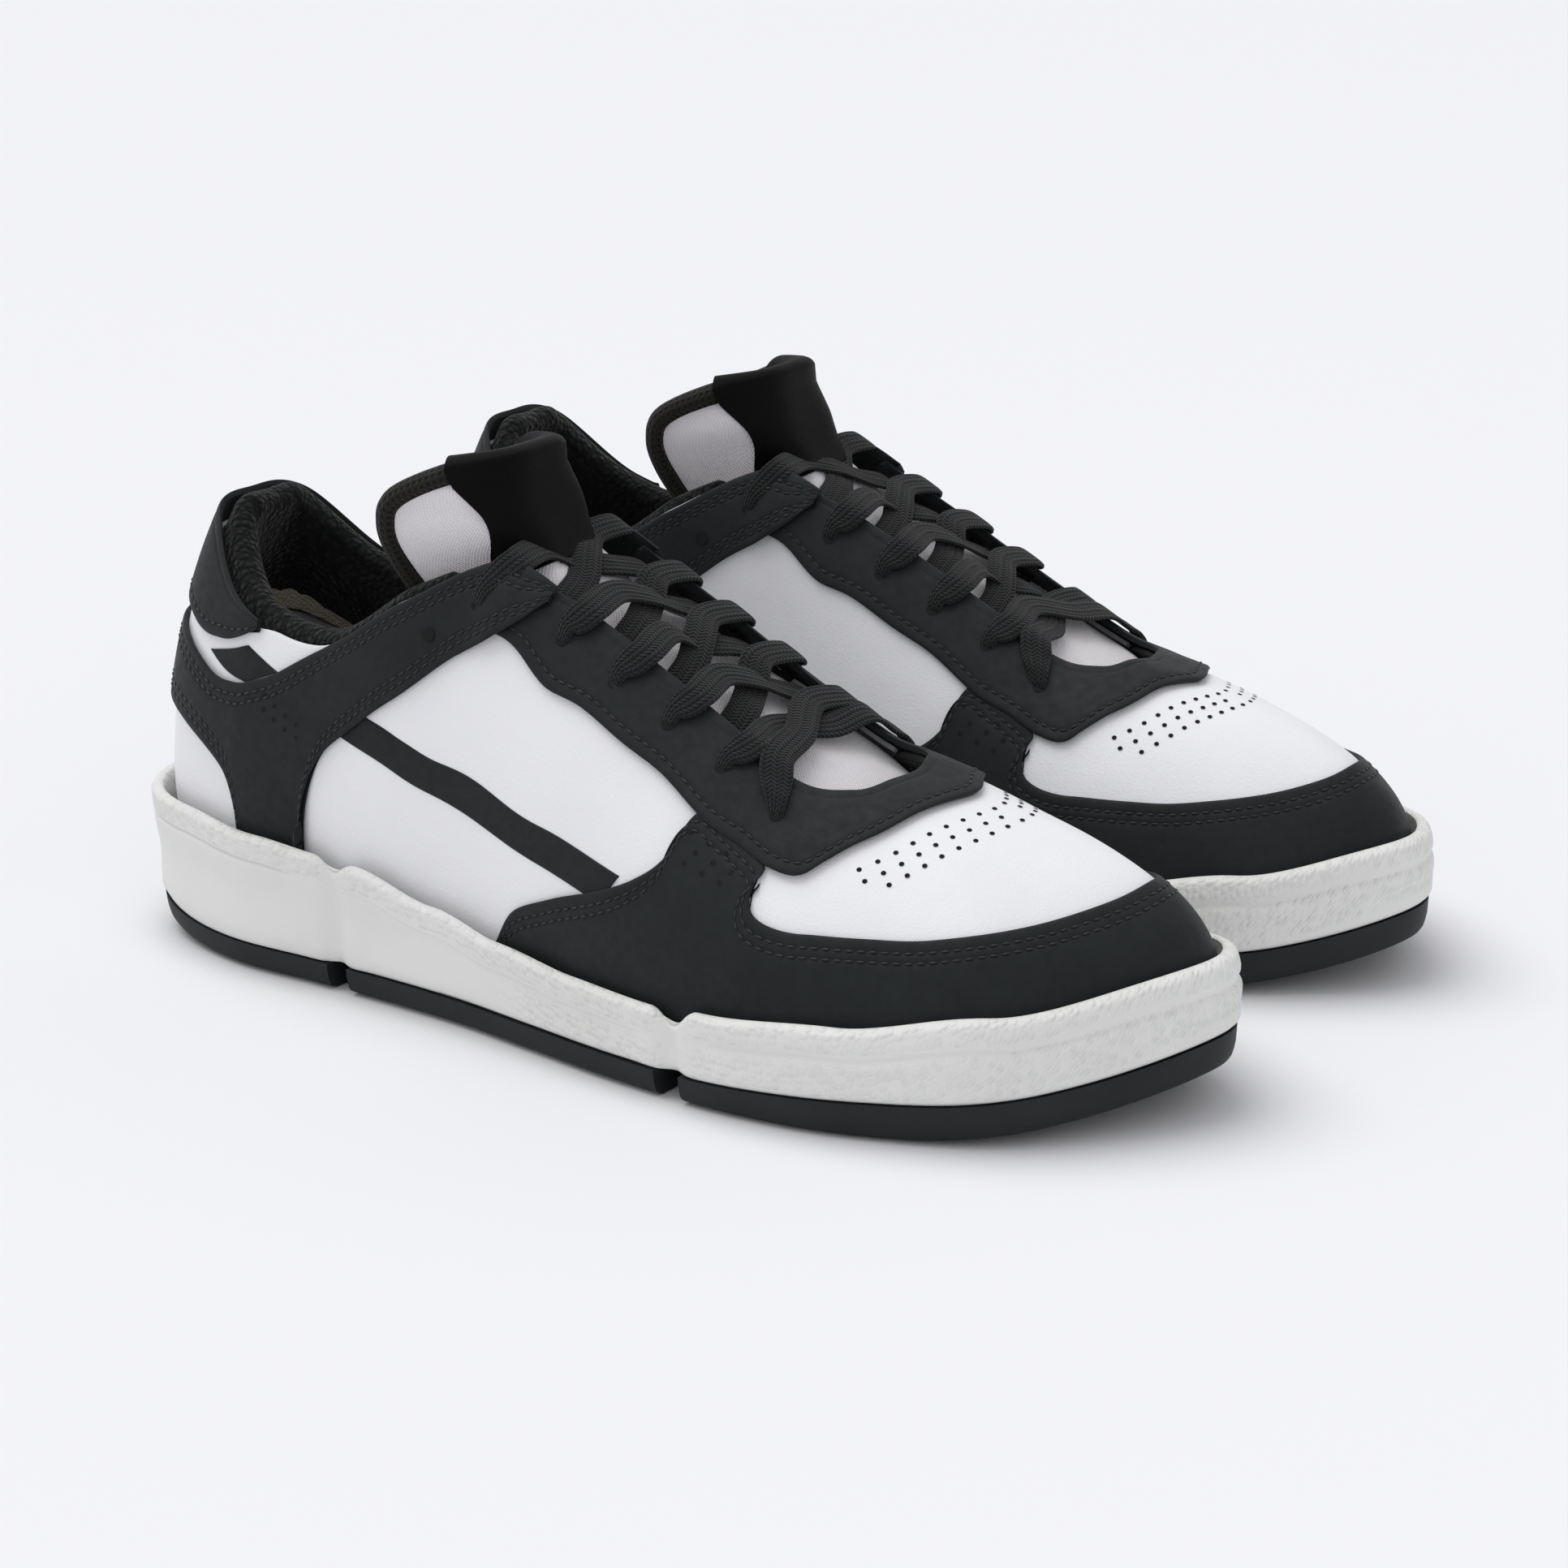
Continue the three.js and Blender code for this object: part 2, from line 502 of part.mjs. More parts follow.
function tongueBinding() {
  const middle = -(TONGUE_FOAM + 2 * TONGUE_SKIN + 2 * TOUCH_GAP) / 2;
  const route = [0.72, 0.79, 0.86, 0.91, 0.95].map((a) => [a, -1]);
  const crest = [[1.0, -0.72], [1.0, -0.3], [1.0, 0.3], [1.0, 0.72]];
  const whole = [...route, ...crest, ...route.map(([a]) => [a, 1]).reverse()];
  const path = new THREE.CatmullRomCurve3(whole.map(([a, b]) => {
    const spread = 1 + (BINDING_RADIUS + LAYER_GAP) / tongueHalf(a);
    const raised = tongueAt(a, Math.abs(b) === 1 ? b * spread : b, middle);
    return Math.abs(b) === 1 ? raised : raised.add(new THREE.Vector3(-1.8, 0, BINDING_RADIUS + 2.5));
  }), false, 'centripetal');
  const section = new THREE.Shape().absellipse(0, 0, BINDING_RADIUS, BINDING_RADIUS - 0.6, 0, 2 * Math.PI);
  return new THREE.ExtrudeGeometry(section, { steps: 22, curveSegments: 4, extrudePath: path });
}
const LABEL_GAP = 1.1;
function tongueLabel() {
  const columns = Array.from({ length: 7 }, (_, i) => (r) => [mix(0.75, 0.968, i / 6), mix(-0.66, 0.66, r)]);
  return shell(columns, 4, tongueAt, LABEL_GAP, LABEL_GAP + LABEL_THICK);
}

// ---- the lace ------------------------------------------------------------------------------
// Eyelets from the toe up, as [k, v]; the last place is where an end is pushed under the edge.
const EYELETS = [[8.04, 0.79], [7.52, 0.83], [7.05, 0.835], [6.54, 0.835], [5.98, 0.85],
  [4.92, 0.835], [5.5, 0.93]];
const TUCK = 6;
const OVER = onTop[1] + LACE_THICK / 2 + 1.6;
const UNDER = -LACE_THICK / 2 - 0.6;
const BAR_RISE = 1.6;           // how far the lowest bar arches over the tongue
function lacePoint(side, index, v, out, width) {
  const [k] = EYELETS[index];
  const place = onUpper(side > 0 ? k : LOOP - k, v, out);
  return { place, width, thick: width < LACE_WIDTH ? LACE_THICK * 1.3 : LACE_THICK };
}
// Out of an eyelet from below and over the eyestay's edge.
const comeOut = (side, index) => [
  lacePoint(side, index, EYELETS[index][1] - 0.005, UNDER + 0.2, LACE_BUNCH),
  lacePoint(side, index, EYELETS[index][1] - 0.015, (onTop[0] + onTop[1]) / 2, LACE_BUNCH),
  lacePoint(side, index, EYELETS[index][1] + 0.005, OVER, LACE_BUNCH + 1),
  lacePoint(side, index, 0.93, OVER + 0.6, LACE_WIDTH),
];
// Under the far edge and along to the next eyelet.
const goUnder = (side, index) => [
  lacePoint(side, index, 0.975, UNDER - 1.2, LACE_WIDTH),
  lacePoint(side, index, 0.91, UNDER, LACE_BUNCH + 1),
];
// Over the tongue between two eyelets, one half of the lace above the other.
function crossing(side, index, next, lift, bow = 0) {
  const from = onUpper(side > 0 ? EYELETS[index][0] : LOOP - EYELETS[index][0], 0.985, 0);
  const to = onUpper(side > 0 ? LOOP - EYELETS[next][0] : EYELETS[next][0], 0.985, 0);
  return [[0.2, OVER + 2.4], [0.5, lift + 1.8], [0.82, UNDER - 0.1]].map(([t, height]) => {
    const place = from.clone().lerp(to, t);
    place.z += height;
    place.x += bow * 4 * t * (1 - t);
    return { place, width: LACE_WIDTH, thick: LACE_THICK };
  });
}
function laceHalf(firstSide, lift) {
  const points = [];
  let side = firstSide;
  for (let i = 0; i < 4; i += 1) {
    points.push(...comeOut(side, i), ...crossing(side, i, i + 1, lift), ...goUnder(-side, i + 1));
    side = -side;
  }
  return { points, side };
}
function ribbon(points, stepsPerSpan) {
  const path = new THREE.CatmullRomCurve3(points.map((p) => p.place), false, 'centripetal');
  const ridge = new THREE.Vector3(-0.88, 0, 0.47);
  const count = (points.length - 1) * stepsPerSpan;
  const sections = Array.from({ length: count + 1 }, (_, i) => {
    const t = i / count;
    const centre = path.getPoint(t);
    const tangent = path.getTangent(t);
    const across = ridge.clone().addScaledVector(tangent, -ridge.dot(tangent)).normalize();
    const normal = tangent.clone().cross(across);
    const [width, thick] = splineAt(points.map((p) => [p.width, p.thick]), t);
    return [[1, 1], [-1, 1], [-1, -1], [1, -1]].map(([a, b]) => centre.clone()
      .addScaledVector(across, (a * width) / 2).addScaledVector(normal, (b * thick) / 2));
  });
  return sweep(sections);
}
function lace() {
  const lower = laceHalf(1, -1.1);
  const upper = laceHalf(-1, 1.1);
  const [bar, farBar] = [1, -1].map((side) => [0.92, 0.98].map((v) => (
    lacePoint(side, 0, v, UNDER - 0.5, LACE_WIDTH))));
  const middle = { ...bar[1], place: bar[1].place.clone().lerp(farBar[1].place, 0.5) };
  middle.place.z += BAR_RISE;
  const lowerEnd = [...comeOut(lower.side, 4), ...crossing(lower.side, 4, TUCK, -1.1, 9),
    lacePoint(-lower.side, TUCK, 0.96, UNDER - 0.6, LACE_WIDTH)];
  const topBar = [...comeOut(upper.side, 4), ...crossing(upper.side, 4, 5, 1.1, 8), ...goUnder(-upper.side, 5),
    ...comeOut(-upper.side, 5), ...crossing(-upper.side, 5, 5, 2.6, 15),
    lacePoint(upper.side, 5, 0.96, UNDER - 0.6, LACE_WIDTH)];
  const whole = [...[...upper.points, ...topBar].reverse(), ...farBar, middle,
    ...bar.reverse(), ...lower.points, ...lowerEnd];
  return ribbon(whole, 1);
}
function eyeletPunches(indexes) {
  return indexes.flatMap((index) => [1, -1].map((side) => {
    const [k, v] = EYELETS[index];
    const station = side > 0 ? k : LOOP - k;
    const punch = new THREE.CylinderGeometry(EYELET_RADIUS, EYELET_RADIUS, 9, 7);
    const turn = new THREE.Quaternion().setFromUnitVectors(new THREE.Vector3(0, 1, 0), normalAt(station, v));
    punch.applyQuaternion(turn).translate(...onUpper(station, v - 0.005, 1).toArray());
    return toManifold(punch);
  }));
}
function punched(geometry, indexes) {
  let solid = toManifold(geometry);
  for (const punch of eyeletPunches(indexes)) solid = solid.subtract(punch);
  return fromManifold(solid);
}

// ---- colours and finishes --------------------------------------------------------------------
const finish = (color, roughness) => new THREE.MeshStandardMaterial({ color, roughness, metalness: 0 });
const whiteLeatherFinish = finish(0xf6f6f8, 0.5);
const blackLeatherFinish = finish(0x232728, 0.75);
const blackMeshFinish = finish(0x141515, 0.95);
const rubberWhiteFinish = finish(0xdededa, 0.7);
const rubberBlackFinish = finish(0x25282a, 0.8);
const foamFinish = finish(0xcdbfa6, 0.9);
const clothWhiteFinish = finish(0xefeaee, 0.9);
const boardFinish = finish(0xb9b2a4, 0.9);
const satinFinish = finish(0x0c0c0d, 0.4);
const laceFinish = finish(0x17191a, 0.9);

// ---- one shoe --------------------------------------------------------------------------------
function shoePieces() {
  const foamTop = -TONGUE_SKIN - TOUCH_GAP;
  const backTop = foamTop - TONGUE_FOAM - TOUCH_GAP;
  return {
    outsole_heel: [outsolePad(0, 3.2, 12), rubberBlackFinish],
    outsole_arch: [outsolePad(3.44, 7.36, 9), rubberBlackFinish],
    outsole_forefoot: [outsolePad(7.58, TOE, 12), rubberBlackFinish],
    cupsole: [cupsole(), rubberWhiteFinish],
    midsole_foam: [midsoleFoam(), foamFinish],
    lasting_board: [board(), boardFinish],
    footbed: [footbed(), blackMeshFinish],
    heel_counter: [stiffener(-2.6, 2.6, 0.5), boardFinish],
    toe_puff: [stiffener(9.3, 12.7, 0.36), boardFinish],
    quarter_outer: [whiteLeather(0.03, VAMP_FROM - 0.03, 4, quarterTop), whiteLeatherFinish],
    quarter_inner: [whiteLeather(LOOP - VAMP_FROM + 0.03, LOOP - 0.03, 4, quarterTop), whiteLeatherFinish],
    vamp: [whiteLeather(VAMP_FROM, LOOP - VAMP_FROM, 5, vampTop), whiteLeatherFinish],
    mudguard: [panel(roundToe(mudguardRungs), 1, 4), blackLeatherFinish],
    eyestay: [punched(panel(roundToe(eyestayRungs), 1, 2), [0, 1, 2, 3, 4]), blackLeatherFinish],
    collar_strap: [punched(panel(roundHeel(strapRungs), 1, 3), [5]), blackLeatherFinish],
    heel_tab: [panel(roundHeel(heelTabRungs), 2, 2), blackLeatherFinish],
    heel_stripe_outer: [panel(heelStripeRungs, 2, 2, LAYER_GAP + 0.4), blackLeatherFinish],
    heel_stripe_inner: [panel(flipSide(heelStripeRungs), 2, 2, LAYER_GAP + 0.4), blackLeatherFinish],
    side_stripe_outer: [panel(sideStripeRungs, 3, 1, LAYER_GAP + 0.4), blackLeatherFinish],
    side_stripe_inner: [panel(flipSide(sideStripeRungs), 3, 1, LAYER_GAP + 0.4), blackLeatherFinish],
    collar_lining: [collarSkin(), blackMeshFinish],
    collar_foam: [collarFoam(), foamFinish],
    textile_lining: [textileLining(), blackMeshFinish],
    tongue_face: [tongueSheet(0, TONGUE_SKIN), clothWhiteFinish],
    tongue_foam: [tongueSheet(foamTop, TONGUE_FOAM), foamFinish],
    tongue_backing: [tongueSheet(backTop, TONGUE_SKIN), blackMeshFinish],
    tongue_binding: [tongueBinding(), blackMeshFinish],
    tongue_label: [tongueLabel(), satinFinish],
    lace: [lace(), laceFinish],
  };
}

// The finished shoe about its own middle, mirrored for the left foot.
function placed(geometry, mirror) {
  const bare = geometry.clone();
  bare.deleteAttribute('normal');
  bare.deleteAttribute('uv');
  const merged = mergeVertices(bare, 1e-4);
  merged.scale(1, mirror ? -1 : 1, 1);
  merged.translate(-SHOE_LENGTH / 2, 0, 0);
  const points = [];
  const { position } = merged.attributes;
  for (let i = 0; i < position.count; i += 1) {
    points.push(new THREE.Vector3().fromBufferAttribute(position, i));
  }
  const triangles = [];
  for (let i = 0; i < merged.index.count; i += 3) {
    triangles.push([0, 1, 2].map((n) => merged.index.getX(i + n)));
  }
  return solidOf(points, triangles);
}

const pieces = shoePieces();
const pair = new THREE.Group();
for (const [side, mirror] of [['right', false], ['left', true]]) {
  const shoe = new THREE.Group();
  for (const [name, [geometry, material]] of Object.entries(pieces)) {
    const mesh = new THREE.Mesh(placed(geometry, mirror), material);
    mesh.name = `${side}_${name}`;
    shoe.add(mesh);
  }
  const away = mirror ? 1 : -1;
  shoe.position.set(0, (away * PAIR_SPACING) / 2, 0);
  shoe.rotation.z = THREE.MathUtils.degToRad(away * TOE_OUT);
  pair.add(shoe);
}

export default pair;
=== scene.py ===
# %% [markdown]
# # A pair of low-top court shoes
# Two leather shoes stand side by side on a pale floor. The right one is modelled piece by piece,
# the way it is made: rubber pads, a rubber cup, white leather pulled over a last, black leather
# sewn on top, a padded collar, a cloth tongue and a flat lace. The left one is its mirror image.
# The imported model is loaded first. It gives the fixed frame that every piece has to fit.

import math

import bpy
import numpy as np
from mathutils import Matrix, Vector


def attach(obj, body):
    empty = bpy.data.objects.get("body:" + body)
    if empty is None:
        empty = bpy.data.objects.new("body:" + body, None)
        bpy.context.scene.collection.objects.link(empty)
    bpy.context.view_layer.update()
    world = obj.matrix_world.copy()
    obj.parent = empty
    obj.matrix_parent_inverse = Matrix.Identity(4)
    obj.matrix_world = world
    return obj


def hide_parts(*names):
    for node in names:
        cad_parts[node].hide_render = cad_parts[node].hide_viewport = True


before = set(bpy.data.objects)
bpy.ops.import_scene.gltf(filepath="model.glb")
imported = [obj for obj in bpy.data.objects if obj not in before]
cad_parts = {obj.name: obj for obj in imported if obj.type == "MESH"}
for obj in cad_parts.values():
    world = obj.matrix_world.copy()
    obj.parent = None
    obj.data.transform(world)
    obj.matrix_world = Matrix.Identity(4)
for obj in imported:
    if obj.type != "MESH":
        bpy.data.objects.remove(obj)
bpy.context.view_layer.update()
bpy.ops.object.select_all(action="DESELECT")

# %% [markdown]
# ## Camera, floor and light
# The camera stands in front of the right shoe's outer side, a little above it. A long lens keeps
# the perspective mild. The floor is plain and pale. The light is a wide, soft panel high on the
# left, a weak softbox on the right and a pale sky, which together fill the shadows.

# %% Camera
LOOK_DOWN = math.radians(17.02)
LOOK_TURN = math.radians(32.35)
bpy.ops.object.camera_add(location=(0.5215, -0.828, 0.339),
                          rotation=(math.pi / 2 - LOOK_DOWN, 0, LOOK_TURN))
camera = bpy.context.object
camera.data.lens = 93.5
camera.data.sensor_width = 36
camera.data.clip_end = 50
bpy.context.scene.camera = camera

# %% Floor and light
FLOOR_GAP = 0.0004
bpy.ops.mesh.primitive_plane_add(size=24, location=(0, 0, -FLOOR_GAP))
floor = bpy.context.object
floor.name = "floor"
floor_paint = bpy.data.materials.new("pale_floor")
floor_paint.use_nodes = True
floor_shader = floor_paint.node_tree.nodes["Principled BSDF"]
floor_shader.inputs["Base Color"].default_value = (0.85, 0.85, 0.862, 1)
floor_shader.inputs["Roughness"].default_value = 0.9
floor.data.materials.append(floor_paint)

sky = bpy.data.worlds.new("studio")
bpy.context.scene.world = sky
sky.use_nodes = True
sky.node_tree.nodes["Background"].inputs["Color"].default_value = (0.96, 0.965, 1.0, 1)
sky.node_tree.nodes["Background"].inputs["Strength"].default_value = 0.66


def softbox(name, place, aim, size, power):
    bpy.ops.object.light_add(type="AREA", location=place)
    lamp = bpy.context.object
    lamp.name = name
    lamp.data.size = size
    lamp.data.energy = power
    lamp.rotation_euler = (Vector(aim) - Vector(place)).to_track_quat("-Z", "Y").to_euler()


softbox("fill", (1.4, -1.5, 1.2), (0, 0, 0.05), 1.2, 2.5)
bpy.ops.object.light_add(type="SUN", location=(-0.9, -0.5, 1.7))
ceiling = bpy.context.object
ceiling.name = "ceiling_panel"
ceiling.data.energy = 1.4
ceiling.data.angle = math.radians(50)
ceiling.rotation_euler = Vector((0.42, 0.02, -1)).to_track_quat("-Z", "Y").to_euler()
bpy.context.scene.view_settings.view_transform = "Standard"
print("camera, floor, a softbox and a wide ceiling light are in place")

# %% [markdown]
# ## The shoe's surface
# A shoe's leather follows the last, the foot-shaped block it is pulled over. Here the last is a
# loop of ribs. Each rib is a curve from the sole up to the opening, and a smooth curve joins rib
# to rib. A place on the leather is (k, v): k counts ribs from the heel by the outer side, the toe
# and the inner side, and v goes from 0 at the sole to 1 at the opening. All lengths here are in
# millimetres, in the shoe's own frame, with the heel at x = 0.

# %% Curves through points
SHOE_LENGTH = 299
PAIR_SPACING = 115.8
TOE_OUT = math.radians(1.2)


def catmull(a, b, c, d, f):
    """A smooth curve from b to c, steered by the neighbours a and d."""
    return b + 0.5 * f * ((c - a) + f * (2 * a - 5 * b + 4 * c - d + f * (3 * (b - c) + d - a)))


def spline(points, t):
    """Points on the smooth curve through a row of points, at shares t of its run."""
    points = np.asarray(points, float)
    last = len(points) - 1
    place = np.clip(t, 0, 1) * last
    i = np.minimum(last - 1, np.floor(place).astype(int))
    rows = [points[np.clip(i + j, 0, last)] for j in (-1, 0, 1, 2)]
    return catmull(*rows, (place - i)[:, None])


def ease(a, b, x):
    s = np.clip((x - a) / (b - a), 0, 1)
    return s * s * (3 - 2 * s)


def mix(a, b, t):
    return a + (b - a) * t


# %% Levels of the sole along the shoe
def ground(x):
    return 13 * np.clip((x - 235) / 63, 0, 1) ** 2.4 + 6 * np.clip((40 - x) / 38, 0, 1) ** 2


def rubber_top(x):
    return ground(x) + mix(7, 9.2, ease(190, 250, x))


def foot_level(x):
    return mix(22, 15, ease(50, 200, x)) + ground(x) * ease(150, 240, x)


RIM = np.array([(0, 38), (30, 37.5), (55, 35.5), (74, 34.2), (80, 31), (87, 33.6), (112, 28.5),
                (134, 24.6), (160, 22.6), (184, 21.8), (190, 18.6), (197, 23), (230, 25.4),
                (262, 30), (299, 37.5)], float)


def rim(x):
    i = np.clip(np.searchsorted(RIM[:, 0], x, side="right"), 1, len(RIM) - 1)
    (x0, z0), (x1, z1) = RIM[i - 1].T, RIM[i].T
    return mix(z0, z1, ease(0, 1, (x - x0) / (x1 - x0)))


# %% The ribs
# foot: x, outer y, inner y.  top: x, outer y, inner y, outer z, inner z.  rise, lean: handles.
RIBS = [
    ((7, 0, 0), (25, 0, 0, 112, 112), (-5, 0, 31), (-16, 0, -27)),
    ((16, -22, 21), (28, -15, 15, 109.5, 109.5), (-3, -5, 28), (-8, -8, -25)),
    ((44, -33.5, 32), (45, -28, 28, 91, 91), (-1, -3, 24), (-1, -5, -20)),
    ((72, -35, 31.5), (71, -31, 31, 85.5, 86), (0, -3, 22), (0, -4.5, -18)),
    ((98, -36.5, 29.5), (95, -29.5, 30, 99.5, 100), (0, -4, 25), (0, -6, -18)),
    ((122, -39, 30.5), (117, -19, 19, 109.5, 110), (0, -4.5, 32), (1, -14, -14)),
    ((146, -43.5, 34.5), (138, -17, 17, 101, 102), (0, -4, 32), (2, -16, -12)),
    ((174, -48.5, 40.5), (166, -17, 16, 86.5, 88), (1, -4, 26), (3, -17, -11)),
    ((206, -51, 45.5), (196, -17, 15, 70, 72), (1, -3.5, 22), (6, -18, -8)),
    ((236, -46.5, 45), (209, -12, 13, 67, 69), (2, -4, 21), (18, -14, -6)),
    ((268, -30.5, 34), (214, -5, 8, 67.5, 69), (4, -5, 22.5), (28, -8, -4)),
    ((292, 8, 8), (215, 2, 2, 68, 68), (3, 0, 27), (38, 2, -5)),
]
TOE = len(RIBS) - 1
LOOP = 2 * TOE


def rib_handles(k):
    inner = k > TOE
    foot, top, rise, lean = RIBS[LOOP - k if inner else k]
    side, turn = (2, -1) if inner else (1, 1)
    a = np.array([foot[0], foot[side], foot_level(foot[0])])
    d = np.array([top[0], top[side], top[side + 2]])
    b = a + [rise[0], rise[1] * turn, rise[2]]
    c = d + [lean[0], lean[1] * turn, lean[2]]
    return np.stack([a, b, c, d])


HANDLES = np.stack([rib_handles(k) for k in range(LOOP)])


def surface(k, v):
    k, v = np.broadcast_arrays(np.asarray(k, float), np.asarray(v, float))
    i = np.floor(k).astype(int)
    rows = [HANDLES[(i + j) % LOOP] for j in (-1, 0, 1, 2)]
    handles = catmull(*rows, (k - i)[..., None, None])
    w = 1 - v
    weights = np.stack([w ** 3, 3 * w ** 2 * v, 3 * w * v ** 2, v ** 3], -1)
    return (handles * weights[..., None]).sum(-2)


def unit(vectors):
    return vectors / np.maximum(np.linalg.norm(vectors, axis=-1, keepdims=True), 1e-9)


def outward(k, v):
    e = 0.02
    low, high = np.maximum(0, v - e), np.minimum(1, v + e)
    return unit(np.cross(surface(k + e, v) - surface(k - e, v), surface(k, high) - surface(k, low)))


def on_upper(k, v, out):
    return surface(k, v) + outward(k, v) * np.asarray(out, float)[..., None]


def outline(k, z, out):
    """The upper's outline at a level z, pushed outwards in plan."""
    low, high = np.zeros_like(z), np.full_like(z, 0.5)
    for _ in range(14):
        middle = (low + high) / 2
        below = surface(k, middle)[..., 2] < z
        low, high = np.where(below, middle, low), np.where(below, high, middle)
    run = surface(k + 0.02, low) - surface(k - 0.02, low)
    run[..., 2] = 0
    run = unit(run)
    place = surface(k, low)
    return np.stack([place[..., 0] + run[..., 1] * out, place[..., 1] - run[..., 0] * out, z], -1)


print("the last's surface has", LOOP, "ribs")

# %% [markdown]
# ## From the last to the pair
# Points made in the shoe's own frame are moved to the right shoe's place in the pair, in metres.
# A left piece is a copy of the right one, mirrored across the middle of the pair, with its faces
# turned round again, because a mirror turns them inside out.

# %% Placing pieces and making the left shoe
def to_pair(points):
    x, y = points[..., 0] - SHOE_LENGTH / 2, points[..., 1]
    c, s = math.cos(-TOE_OUT), math.sin(-TOE_OUT)
    return np.stack([x * c - y * s, x * s + y * c - PAIR_SPACING / 2, points[..., 2]], -1) / 1000


def turn_to_pair(directions):
    c, s = math.cos(-TOE_OUT), math.sin(-TOE_OUT)
    x, y = directions[..., 0], directions[..., 1]
    return np.stack([x * c - y * s, x * s + y * c, directions[..., 2]], -1)


def only(piece):
    bpy.ops.object.select_all(action="DESELECT")
    piece.select_set(True)
    bpy.context.view_layer.objects.active = piece
    return piece


def mirrored(piece, name):
    copy = piece.copy()
    copy.data = piece.data.copy()
    copy.name = name
    bpy.context.scene.collection.objects.link(copy)
    spots = np.empty(len(copy.data.vertices) * 3, np.float32)
    copy.data.vertices.foreach_get("co", spots)
    spots[1::3] *= -1
    copy.data.vertices.foreach_set("co", spots)
    copy.data.flip_normals()
    return copy


def settle(piece, finish, body, nodes):
    """Paint the piece; it and its left copy ride on their bodies and stand for their nodes."""
    finish.on(piece)
    pair = [("right", piece), ("left", mirrored(piece, piece.name.replace("right_", "left_", 1)))]
    for side, each in pair:
        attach(each, f"{side}_{body}")
        if nodes:
            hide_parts(*[f"{side}_{node}" for node in nodes])
    only(piece)
    print(piece.name, len(piece.data.polygons), "faces")


# %% [markdown]
# ## Laying a sheet on the last
# Leather is cut flat and laid over the last. The same is done here: a flat grid is added, its
# points are moved to their places on the surface, and Solidify gives it its thickness. Its UV map
# is in millimetres along and across the sheet, so weaves and grain keep their real size.

# %% A grid laid in place
def laid_grid(name, points, along=None, across=None):
    columns, rows = points.shape[:2]
    bpy.ops.object.select_all(action="DESELECT")
    bpy.ops.mesh.primitive_grid_add(x_subdivisions=columns - 1, y_subdivisions=rows - 1, size=1)
    piece = bpy.context.object
    piece.name = piece.data.name = name
    placed = to_pair(points).transpose(1, 0, 2).reshape(-1, 3)
    piece.data.vertices.foreach_set("co", placed.astype(np.float32).ravel())
    if along is None:
        steps = np.linalg.norm(np.diff(points, axis=0), axis=-1).mean(1)
        along = np.repeat(np.r_[0, np.cumsum(steps)][:, None], rows, 1)
    if across is None:
        steps = np.linalg.norm(np.diff(points, axis=1), axis=-1)
        across = np.concatenate([np.zeros((columns, 1)), np.cumsum(steps, 1)], 1)
    corner = np.empty(len(piece.data.loops), int)
    piece.data.loops.foreach_get("vertex_index", corner)
    flat = np.stack([along.T.ravel(), across.T.ravel()], -1)[corner]
    piece.data.uv_layers[0].data.foreach_set("uv", flat.astype(np.float32).ravel())
    piece.data.update()
    return piece


def merged(piece, gap, outwards=True):
    """Merge points closer than gap in mm, and turn a closed shape's faces outwards."""
    only(piece)
    bpy.ops.object.mode_set(mode="EDIT")
    bpy.ops.mesh.select_all(action="SELECT")
    bpy.ops.mesh.remove_doubles(threshold=gap / 1000)
    if outwards:
        bpy.ops.mesh.normals_make_consistent(inside=False)
    bpy.ops.object.mode_set(mode="OBJECT")
    return piece


def apply_all(piece):
    only(piece)
    for modifier in list(piece.modifiers):
        bpy.ops.object.modifier_apply(modifier=modifier.name)


def thicken(piece, thick, edge=0.25):
    """Give a sheet its thickness and a rounded cut edge, both in mm."""
    solid = piece.modifiers.new("thickness", "SOLIDIFY")
    solid.thickness = thick / 1000
    solid.offset = -1
    if edge:
        bevel = piece.modifiers.new("cut edge", "BEVEL")
        bevel.width = edge / 1000
        bevel.segments = 2
        bevel.limit_method = "ANGLE"
        bevel.angle_limit = math.radians(50)
    apply_all(piece)
    bpy.ops.object.shade_smooth_by_angle(angle=math.radians(40))
    return piece


# %% [markdown]
# ## Finishes
# Each material gets its detail from nodes: grain, weave and small changes of colour. Patterns
# that follow a sheet read its UV map, which is in millimetres, and the others read Object
# coordinates, in metres.

